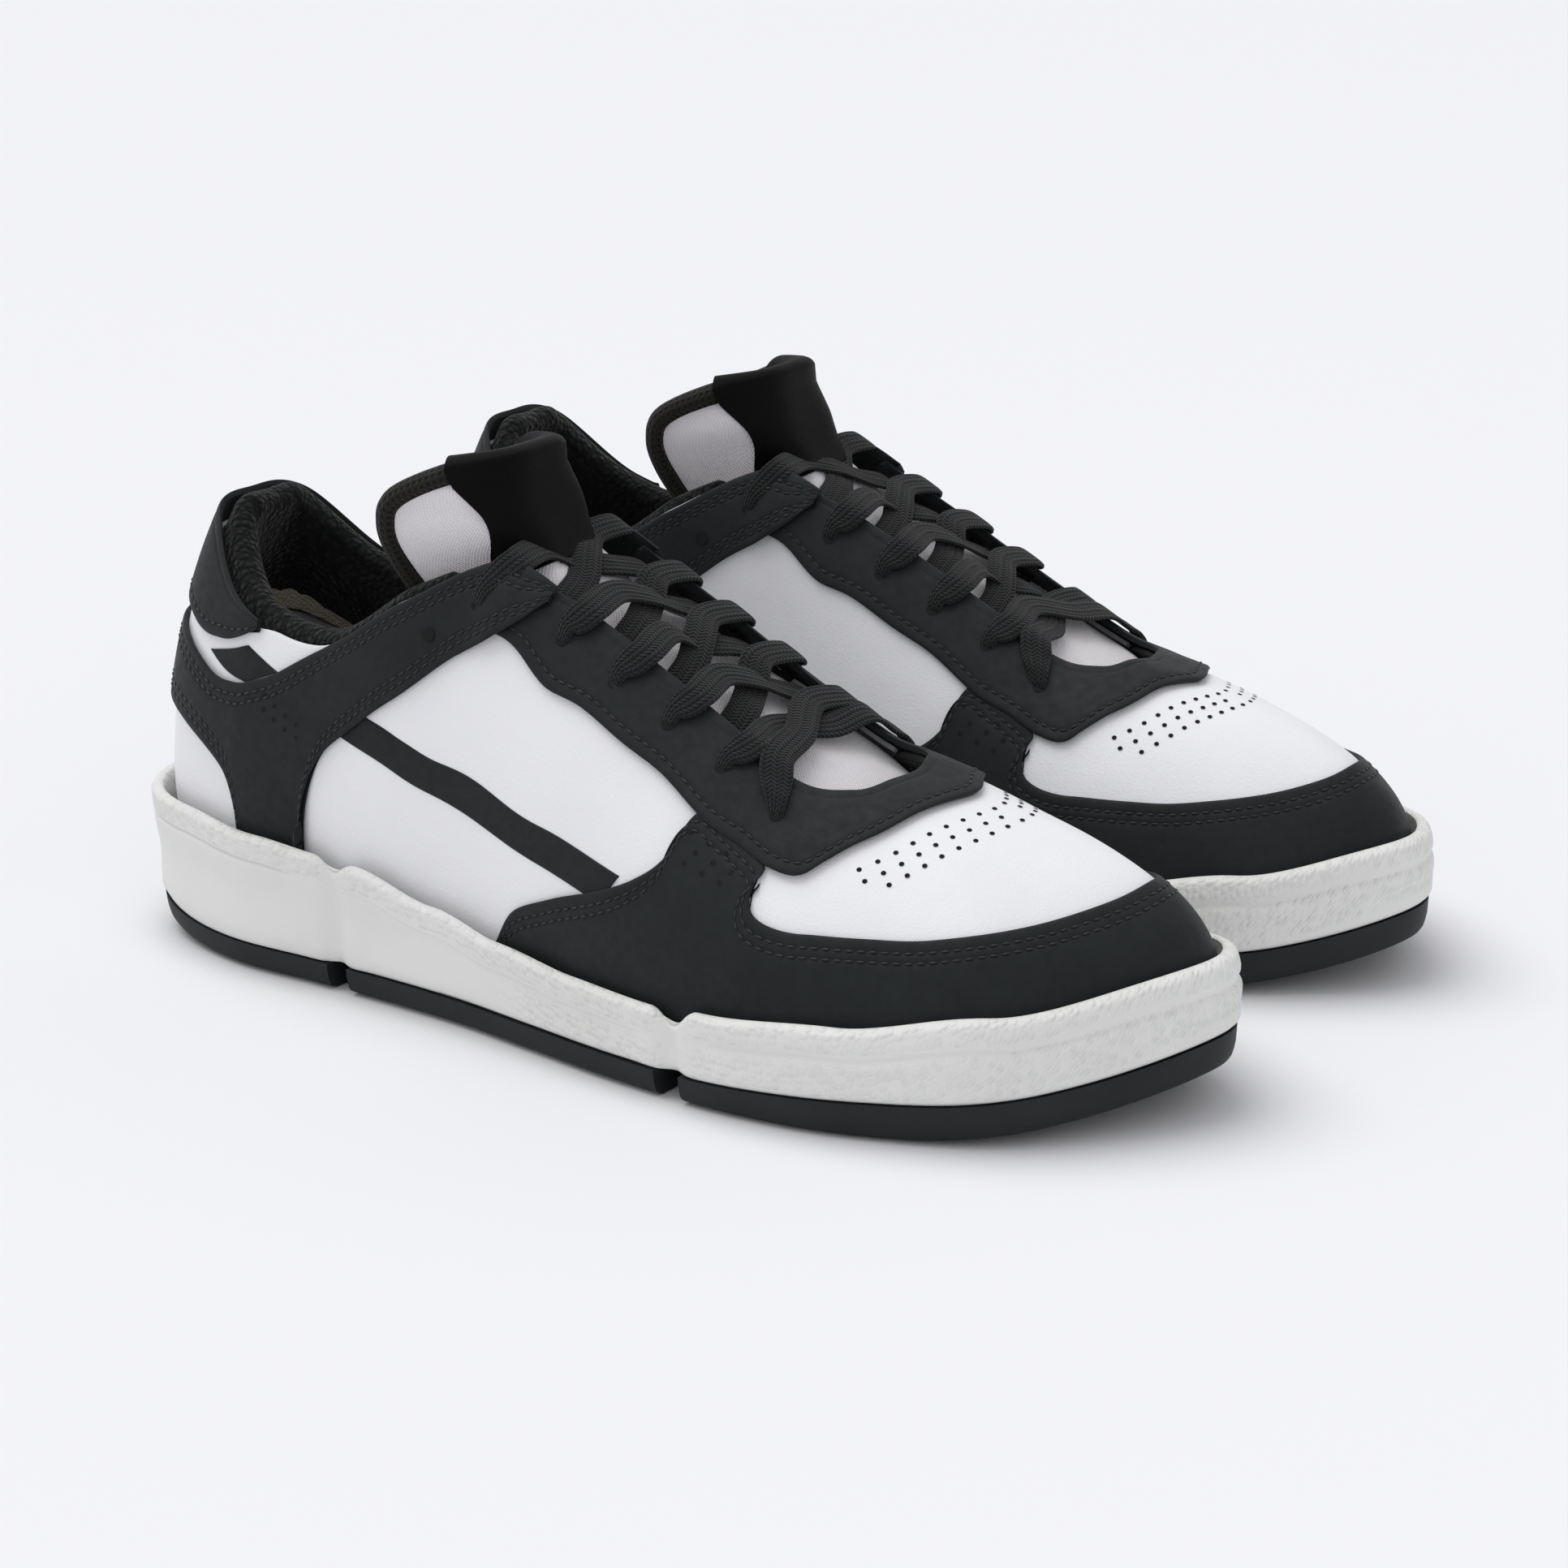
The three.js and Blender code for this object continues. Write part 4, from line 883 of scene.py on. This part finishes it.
STRIPE_TOP, MUDGUARD_TOP, EYESTAY_TOP, HEEL_TAB_TOP = 0.42, 1.35, 1.95, 1.7
for stripe, rungs, per_span in (("side", side_stripe_rungs, 20), ("heel", heel_stripe_rungs, 10)):
    for side, lie in (("outer", rungs), ("inner", flip_side(rungs))):
        panel(f"{stripe}_stripe_{side}", lie, per_span, STRIPE_TOP, thick=0.5, rows=())
panel("mudguard", round_toe(mudguard_rungs), 14, MUDGUARD_TOP, low_free=False, rows=("high",),
      middle=26)
panel("eyestay", round_toe(eyestay_rungs), 14, EYESTAY_TOP, rows=("low",), double=False, thick=1.6)


def strap_height(k):
    """The strap's front ends lie over the eyestay, so they stand higher."""
    return mix(1.6, 3.45, ease(4.75, 5.25, np.abs(k)))


panel("collar_strap", round_heel(strap_rungs), 14, strap_height, thick=1.4)
panel("heel_tab", round_heel(heel_tab_rungs), 14, HEEL_TAB_TOP, rows=("low",), double=False)

# %% [markdown]
# ## The padded collar
# The collar is a roll of foam inside looped cloth. It stands a little above the leather's edge,
# runs from one side of the tongue round the heel to the other, and ends low inside the shoe. It is
# one closed section carried along the opening, and its two ends shrink to a soft point.

# %% The collar's section along the opening
COLLAR_ENDS = 4.55
COLLAR_BASE = 0.975
ROLL = 3.7
PINCH = 0.0004


def collar_place(k, s, w):
    """s is the height above the leather's edge, w the distance inwards."""
    base = surface(k, COLLAR_BASE)
    up = unit(base - surface(k, COLLAR_BASE - 0.06))
    above = base + up * s[..., None] - outward(k, COLLAR_BASE) * w[..., None]
    run = np.linalg.norm(base - surface(k, COLLAR_BASE - 0.1), axis=-1) / 0.1
    v = np.clip(COLLAR_BASE + np.minimum(s, 0) / run, 0, 1)
    return np.where((s > 0)[..., None], above, on_upper(k, v, -w))


def collar_section(k):
    """Closed sections: inner wall up, over the roll and down, as (s, w) for each k."""
    side = np.abs(k)
    low_v = mix(0.6, 0.93, ease(2.8, 4.7, side))
    depth = np.linalg.norm(surface(k, COLLAR_BASE) - surface(k, low_v), axis=-1)
    roll = mix(ROLL, 2.3, ease(3.8, 4.7, side))
    puff = 1 + 0.12 * np.sin(k * 2.1) + 0.18 * np.exp(-((side - 1.7) / 0.7) ** 2)
    face, lift = 2.0, 0.6
    rows = [(-depth * share, face) for share in (1, 0.75, 0.5, 0.25, 0)]
    for turn in np.linspace(0, np.pi, 9):
        rows.append((lift + roll * np.sin(turn), face + roll - roll * np.cos(turn)))
    rows += [(-depth * 0.15, face + roll * 2.0 * puff), (-depth * 0.35, face + roll * 2.05 * puff),
             (-depth * 0.6, face + roll * 1.75 * puff), (-depth * 0.82, face + roll * 1.2),
             (-depth * 0.97, face + roll * 0.55)]
    return [np.stack(np.broadcast_arrays(s, w), -1) for s, w in rows]


k = np.linspace(-COLLAR_ENDS, COLLAR_ENDS, 300)
sections = np.stack([spline(np.concatenate([section, section[:1]]), np.linspace(0, 1, 61))
                     for section in np.stack(collar_section(k), 1)])
centre = sections.mean(1, keepdims=True)
from_end = COLLAR_ENDS - np.abs(k)
shrink = np.sqrt(np.clip(from_end / 0.12, PINCH, 1))[:, None, None]
sections = centre + (sections - centre) * shrink
points = collar_place(np.repeat(k[:, None], 61, 1), sections[..., 0], sections[..., 1])
collar = merged(laid_grid("right_collar", points), 0.02)
bpy.ops.object.shade_smooth()
settle(collar, loop_cloth, "shoe", ["collar_lining"])

# %% The lining inside the shoe
LINING_OUT = -3.6


def lining_top(k):
    side = side_of(k)
    under_collar = np.minimum(mix(0.6, 0.93, ease(2.8, 4.7, side)) - 0.04, 0.74)
    return mix(under_collar, mix(0.74, 0.8, ease(8.5, 9.5, side)), ease(5, 6, side))


k, v = between(0, LOOP, sole_line, lining_top, 300, 24)
lining = laid_grid("right_lining", on_upper(k, v, np.full_like(k, LINING_OUT)))
merged(lining, 0.02, outwards=False)
thicken(lining, 0.8, edge=0)
settle(lining, lining_cloth, "shoe", ["textile_lining"])

# %% [markdown]
# ## The tongue
# The tongue is a pad of foam between a white woven face and a black backing. A mesh binding is
# folded round its upper edge, and a plain satin label lies down the middle and folds over the top.

# %% The tongue's surface
# Each row: x and z on the centre line, half width, how far the edges fall, how far they sweep back.
TONGUE_ROWS = [(222, 56, 17, 6, 0), (206, 64, 21, 3, 0), (186, 73.6, 23.5, 4, 0),
               (164, 84, 24.5, 5, 0), (146, 92.6, 24.5, 7, 1), (132, 101, 20.5, 14, 18),
               (122, 110, 17.5, 12, 27), (116, 120, 23, 6, 28), (112.5, 129.5, 22, 4, 20)]


def tongue(a, b, out):
    """a runs up the tongue, b across it from -1 to 1, out is the distance from its face."""
    a, b, out = np.broadcast_arrays(*(np.asarray(value, float) for value in (a, b, out)))
    shape = a.shape

    def flat(a, b):
        x, z, half, fall, back = spline(TONGUE_ROWS, a).T
        bend = np.abs(b) ** (mix(2, 6, ease(0.52, 0.7, a)) - 2.5 * ease(0.78, 1, a))
        return np.stack([x - back * bend, half * b, z - fall * bend], -1)

    a, b, out = a.ravel(), b.ravel(), out.ravel()
    e = 0.01
    up = flat(np.minimum(1, a + e), b) - flat(np.maximum(0, a - e), b)
    across = flat(a, b + e) - flat(a, b - e)
    facing = unit(np.cross(across, up))
    return (flat(a, b) + facing * out[:, None]).reshape(*shape, 3), facing.reshape(*shape, 3)


# %% The face, which wraps round the foam's edges
wrap_b, wrap_drop = np.array([1.02, 1.03, 1.02, 1.0]), np.array([-0.9, -1.8, -2.6, -3.2])
b = np.r_[-wrap_b[::-1], np.linspace(-1, 1, 61), wrap_b]
drop = np.r_[wrap_drop[::-1], np.zeros(61), wrap_drop]
a = np.linspace(0.02, 0.995, 150)[:, None]
crown = -0.9 * np.abs(np.clip(b, -1, 1)) ** 6
top_edge = -1.6 * ease(0.93, 1.0, a)
folds = 0.45 * np.sin(a * 46 + b * 5) * np.exp(-((np.abs(b) - 0.75) / 0.2) ** 2)
points, _ = tongue(a, b[None, :], (drop + crown)[None, :] + folds + top_edge)
face = laid_grid("right_tongue_face", points)
thicken(face, 0.7, edge=0.15)
settle(face, tongue_cloth, "tongue", ["tongue_face"])

# %% The foam and the backing
FOAM_BACK, BACKING_BACK = -4.7, -5.6
a = np.linspace(0.02, 0.985, 80)[:, None]
points, _ = tongue(a, np.linspace(-0.98, 0.98, 33)[None, :], FOAM_BACK)
pad = laid_grid("right_tongue_foam", points)
thicken(pad, 3.4, edge=0.6)
settle(pad, foam, "tongue", ["tongue_foam"])
a = np.linspace(0.02, 0.995, 80)[:, None]
points, _ = tongue(a, np.linspace(-1, 1, 33)[None, :], BACKING_BACK + 1.2 * ease(0.9, 1.0, a))
backing = laid_grid("right_tongue_backing", points)
thicken(backing, 0.8, edge=0.15)
settle(backing, lining_cloth, "tongue", ["tongue_backing"])

# %% The binding, a flat tube of mesh round the upper edge
TUBE_SIDES = 18


def tube(name, path, sideways, wide, high):
    """An oval section carried along a path; sideways is the section's long direction."""
    forward = unit(np.gradient(path, axis=0))
    sideways = unit(sideways - forward * (sideways * forward).sum(-1, keepdims=True))
    upwards = np.cross(forward, sideways)
    turn = np.linspace(0, 2 * np.pi, TUBE_SIDES + 1)
    ends = np.minimum(np.arange(len(path)), np.arange(len(path))[::-1])
    shrink = np.sqrt(np.clip(ends / 6, PINCH, 1))[:, None, None]
    ring = (sideways[:, None] * (np.cos(turn) * wide)[None, :, None]
            + upwards[:, None] * (np.sin(turn) * high)[None, :, None])
    piece = merged(laid_grid(name, path[:, None] + ring * shrink), 0.005)
    bpy.ops.object.shade_smooth()
    return piece


edge_rows = np.array([0.7, 0.76, 0.82, 0.88, 0.94])
left, left_out = tongue(edge_rows, -1.02, -2.6)
right, right_out = tongue(edge_rows, 1.02, -2.6)
CREST_ROW, CREST_OUT = 0.995, -2.9
crest, crest_out = tongue(np.full(5, CREST_ROW), np.array([-0.84, -0.45, 0, 0.45, 0.84]), CREST_OUT)
corners = np.concatenate([left, crest, right[::-1]])
facing = np.concatenate([left_out, crest_out, right_out[::-1]])
path = spline(corners, np.linspace(0, 1, 200))
out = spline(facing, np.linspace(0, 1, 200))
binding = tube("right_tongue_binding", path, out, 4.0, 3.1)
settle(binding, spacer_mesh, "tongue", ["tongue_binding"])

# %% The plain label, folded over the top
LABEL_HALF = 14.5, 19.0


def label_rows(a, out):
    """Rows of the label, a little wider at the fold than at its sewn end."""
    half = spline(TONGUE_ROWS, a)[:, 2:3]
    across = np.linspace(-1, 1, 29)[None, :] * mix(*LABEL_HALF, ease(0.7, 1, a))[:, None]
    return tongue(a[:, None], across / half, out)


down, _ = label_rows(np.linspace(0.71, 0.95, 34), 1.0)
top, top_out = label_rows(np.array([CREST_ROW]), CREST_OUT)
top, top_out = top[0], top_out[0]
over = [top + top_out * math.cos(turn) * 5.0 + np.array([0, 0, 1.0]) * math.sin(turn) * 4.2
        for turn in np.linspace(0.12, 0.95, 12) * np.pi]
back = [over[-1] + np.array([0.6, 0, -1.0]) * step for step in (3, 6, 9)]
label = laid_grid("right_tongue_label", np.concatenate([down, np.stack(over), np.stack(back)]))
thicken(label, 0.5, edge=0.1)
settle(label, satin, "tongue", ["tongue_label"])

# %% [markdown]
# ## The lace
# One flat braid starts as a hidden bar under the eyestay's front, between the two lowest eyelets.
# Each half then crosses the tongue, lies over the far edge, goes down through the next eyelet and
# rises again from under that edge. Its path is a smooth curve through listed points, and its
# section is a flat oval that bunches up inside an eyelet.

# %% Places the lace passes
# Eyelets from the toe up, as (k, v). A strand rises from under one edge, crosses the tongue, lies
# over the other edge and goes down through the next eyelet there.
EYELETS = [(8.04, 0.79), (7.52, 0.83), (7.05, 0.835), (6.54, 0.835), (5.98, 0.85), (4.92, 0.835)]
LACE_WIDE, LACE_THICK, LACE_BUNCH = 8.0, 1.3, 3.4
OVER, UNDER = 3.1, -1.5
OPEN_EDGE = 0.985


def lace_point(side, k, v, out, wide):
    return (*on_upper(k if side > 0 else LOOP - k, v, out), wide)


def between_eyelets(index, following, t):
    return mix(EYELETS[index][0], EYELETS[following][0], t)


def rise_from_under(side, index, following):
    k = between_eyelets(index, following, 0.12)
    return [lace_point(side, k, 0.93, UNDER - 0.8, 5.5),
            lace_point(side, k, OPEN_EDGE, UNDER - 0.9, LACE_WIDE)]


def down_the_eyelet(side, index, previous, over=OVER):
    k, v = EYELETS[index]
    steps = [(0.3, 0.975, over + 0.2, LACE_WIDE),
             (0.16, mix(0.975, v, 0.5), over, LACE_WIDE - 0.6),
             (0.05, v + 0.03, over - 0.2, LACE_BUNCH + 1.5)]
    return ([lace_point(side, between_eyelets(index, previous, t), *rest) for t, *rest in steps]
            + [lace_point(side, k, v - 0.008, 1.6, LACE_BUNCH),
               lace_point(side, k, v - 0.004, UNDER, LACE_BUNCH)])


def over_the_tongue(side, index, following, steps):
    """Points straight across, each at a share of the way and a height, all in full width."""
    here, there = EYELETS[index][0], EYELETS[following][0]
    ks = (here, LOOP - there) if side > 0 else (LOOP - here, there)
    start, end = (on_upper(k, OPEN_EDGE, 0) for k in ks)
    return [(*(mix(start, end, share) + [0, 0, height]), LACE_WIDE) for share, height in steps]


def lace_half(side, lift):
    """From the lowest eyelet up: out of it, over the tongue, then eyelet by eyelet."""
    points = down_the_eyelet(side, 0, 1)[::-1]
    points += over_the_tongue(side, 0, 1, [(0.3, lift + 2.6), (0.7, lift + 2.6)])
    points += down_the_eyelet(-side, 1, 0)
    crossing = [(0.2896, 0.6), (0.511, lift + 1.9), (0.716, OVER + 0.4)]
    for i in range(1, 5):
        side = -side
        points += rise_from_under(side, i, i + 1) + over_the_tongue(side, i, i + 1, crossing)
        points += down_the_eyelet(-side, i + 1, i, OVER - 0.3 if i == 4 else OVER)
    return points


# %% The lace's path
BAR_WIDE = 5
lower, upper = lace_half(-1, -0.9), lace_half(1, 1.1)
half_bar = [(8.35, 0.86), (9.0, 0.9), (9.9, 0.915)]
bar = ([lace_point(-1, k, v, UNDER, BAR_WIDE) for k, v in half_bar + [(TOE, 0.92)]]
       + [lace_point(1, k, v, UNDER, BAR_WIDE) for k, v in half_bar[::-1]])
route = np.array(upper[::-1] + bar[::-1] + lower)


def even_curve(points, steps):
    """A curve through unevenly spaced points that doesn't overshoot between them."""
    pads = np.concatenate([[2 * points[0] - points[1]], points, [2 * points[-1] - points[-2]]])
    knots = np.r_[0, np.cumsum(np.linalg.norm(np.diff(pads[:, :3], axis=0), axis=-1) ** 0.5)]
    found = []
    for i in range(1, len(pads) - 2):
        p0, p1, p2, p3 = pads[i - 1:i + 3]
        t0, t1, t2, t3 = knots[i - 1:i + 3]
        for t in np.linspace(t1, t2, steps, endpoint=False):
            a1 = (t1 - t) / (t1 - t0) * p0 + (t - t0) / (t1 - t0) * p1
            a2 = (t2 - t) / (t2 - t1) * p1 + (t - t1) / (t2 - t1) * p2
            a3 = (t3 - t) / (t3 - t2) * p2 + (t - t2) / (t3 - t2) * p3
            b1 = (t2 - t) / (t2 - t0) * a1 + (t - t0) / (t2 - t0) * a2
            b2 = (t3 - t) / (t3 - t1) * a2 + (t - t1) / (t3 - t1) * a3
            found.append((t2 - t) / (t2 - t1) * b1 + (t - t1) / (t2 - t1) * b2)
    return np.array(found + [points[-1]])


path = even_curve(route, 11)
length = np.linalg.norm(np.diff(path[:, :3], axis=0), axis=-1).sum()
print("lace length in mm:", round(length))

# %% The braid along its path
forward = unit(np.gradient(path[:, :3], axis=0))
ridge = np.array([-0.88, 0, 0.47])
sideways = unit(ridge - forward * (forward @ ridge)[:, None])
upwards = np.cross(forward, sideways)
turn = np.linspace(0, 2 * np.pi, 17)
flat_oval = [np.sign(swing) * np.abs(swing) ** power
             for swing, power in ((np.cos(turn), 0.7), (np.sin(turn), 0.55))]
half_wide = path[:, 3] / 2
half_thick = LACE_THICK / 2 * (1 + 0.5 * (LACE_WIDE - path[:, 3]) / LACE_WIDE)
half_thick[[0, -1]] = half_wide[[0, -1]] = 0.01
ring = (sideways[:, None] * (half_wide[:, None] * flat_oval[0])[..., None]
        + upwards[:, None] * (half_thick[:, None] * flat_oval[1])[..., None])
lace_points = path[:, None, :3] + ring
across = np.tile(flat_oval[0] * LACE_WIDE / 2, (len(path), 1))
lace = merged(laid_grid("right_lace", lace_points, across=across), 0.005)
bpy.ops.object.shade_smooth()
settle(lace, braid, "shoe", ["lace"])

# %% [markdown]
# ## Small holes
# Punched holes let air in at the vamp, the arms and the heel. A dark hole also shows where the
# lace goes down at each eyelet, and a spare one shows on the strap. Real holes would need about a
# hundred cuts in thin leather, so each is a small dark disc lying on it, modelled once and copied.
# Its near-black is painted shade inside the hole, over the dark lining and lace behind it.

# %% One hole, copied
bpy.ops.mesh.primitive_circle_add(vertices=12, radius=1, fill_type="TRIFAN")
one_hole = bpy.context.object
hole = taken_apart(one_hole)
# Painted shade: the disc's near-black stands for the shade inside a hole.
hole_shade = Finish("punched_hole_shade", (0.012, 0.012, 0.012), 0.9, specular=0.1)
hole_shade.paint(hole_shade.noise(900), (0.02, 0.02, 0.02))


def punched(name, ks, vs, out, radius):
    ks, vs = np.array(ks, float), np.array(vs, float)
    facing = outward(ks, vs)
    sideways = unit(np.cross(facing, np.array([0, 0, 1.0])))
    frames = np.stack([sideways * radius, np.cross(facing, sideways) * radius, facing * radius], 1)
    holes = copies(name, hole, on_upper(ks, vs, np.full(len(ks), out)), frames)
    settle(holes, hole_shade, "shoe", [])


def under_edge(rungs, k, distance):
    """The v that lies a distance in mm below a panel's lower edge."""
    ends = spline(rungs, np.linspace(0, 1, 300))
    v = np.interp(k, ends[:, 0], ends[:, 1])
    run = np.linalg.norm(surface(k, v) - surface(k, v - 0.1), axis=-1) / 0.1
    return v - distance / run


def both_sides(ks, vs):
    return np.r_[ks, LOOP - np.asarray(ks)], np.r_[vs, vs]


SPARE_HOLE = 4.40, 0.79
lace_holes = [(k, v - 0.012) for k, v in EYELETS] + [SPARE_HOLE]
punched("right_lace_holes", *both_sides(*zip(*lace_holes)), 2.05, 1.7)

# %% Rows of small holes
HOLE_RADIUS, HOLE_SPACING = 0.62, 4.6
band_k, band_v = [], []
for distance, shift in ((6.0, 0), (9.6, 0.5), (13.2, 0)):
    k = np.linspace(8.75, TOE, 200)
    spots = surface(k, under_edge(eyestay_rungs, k, distance))
    run = np.r_[0, np.cumsum(np.linalg.norm(np.diff(spots, axis=0), axis=-1))]
    k = np.interp(run[-1] - (np.arange(9) + 0.5 + shift) * HOLE_SPACING, run, k)
    k = k[k > 8.76]
    band_k.append(k)
    band_v.append(under_edge(eyestay_rungs, k, distance))
punched("right_vamp_holes", *both_sides(np.concatenate(band_k), np.concatenate(band_v)),
        0.12, HOLE_RADIUS)
arm = [(7.42 + i * 0.15 + (j % 2) * 0.07, 0.585 - j * 0.045) for i in range(3) for j in range(3)]
punched("right_arm_holes", *both_sides(*zip(*arm)), 1.42, HOLE_RADIUS)
heel = [(2.42 + i * 0.13, 0.715 - i * 0.022 - j * 0.052) for i in range(4) for j in range(2)]
punched("right_heel_holes", *both_sides(*zip(*heel)), 1.66, HOLE_RADIUS)

# %% The hidden pieces keep the frame's shapes
for side in ("right", "left"):
    for node in ("midsole_foam", "collar_foam"):
        foam.on(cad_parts[f"{side}_{node}"])
    for node in ("lasting_board", "heel_counter", "toe_puff"):
        board.on(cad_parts[f"{side}_{node}"])
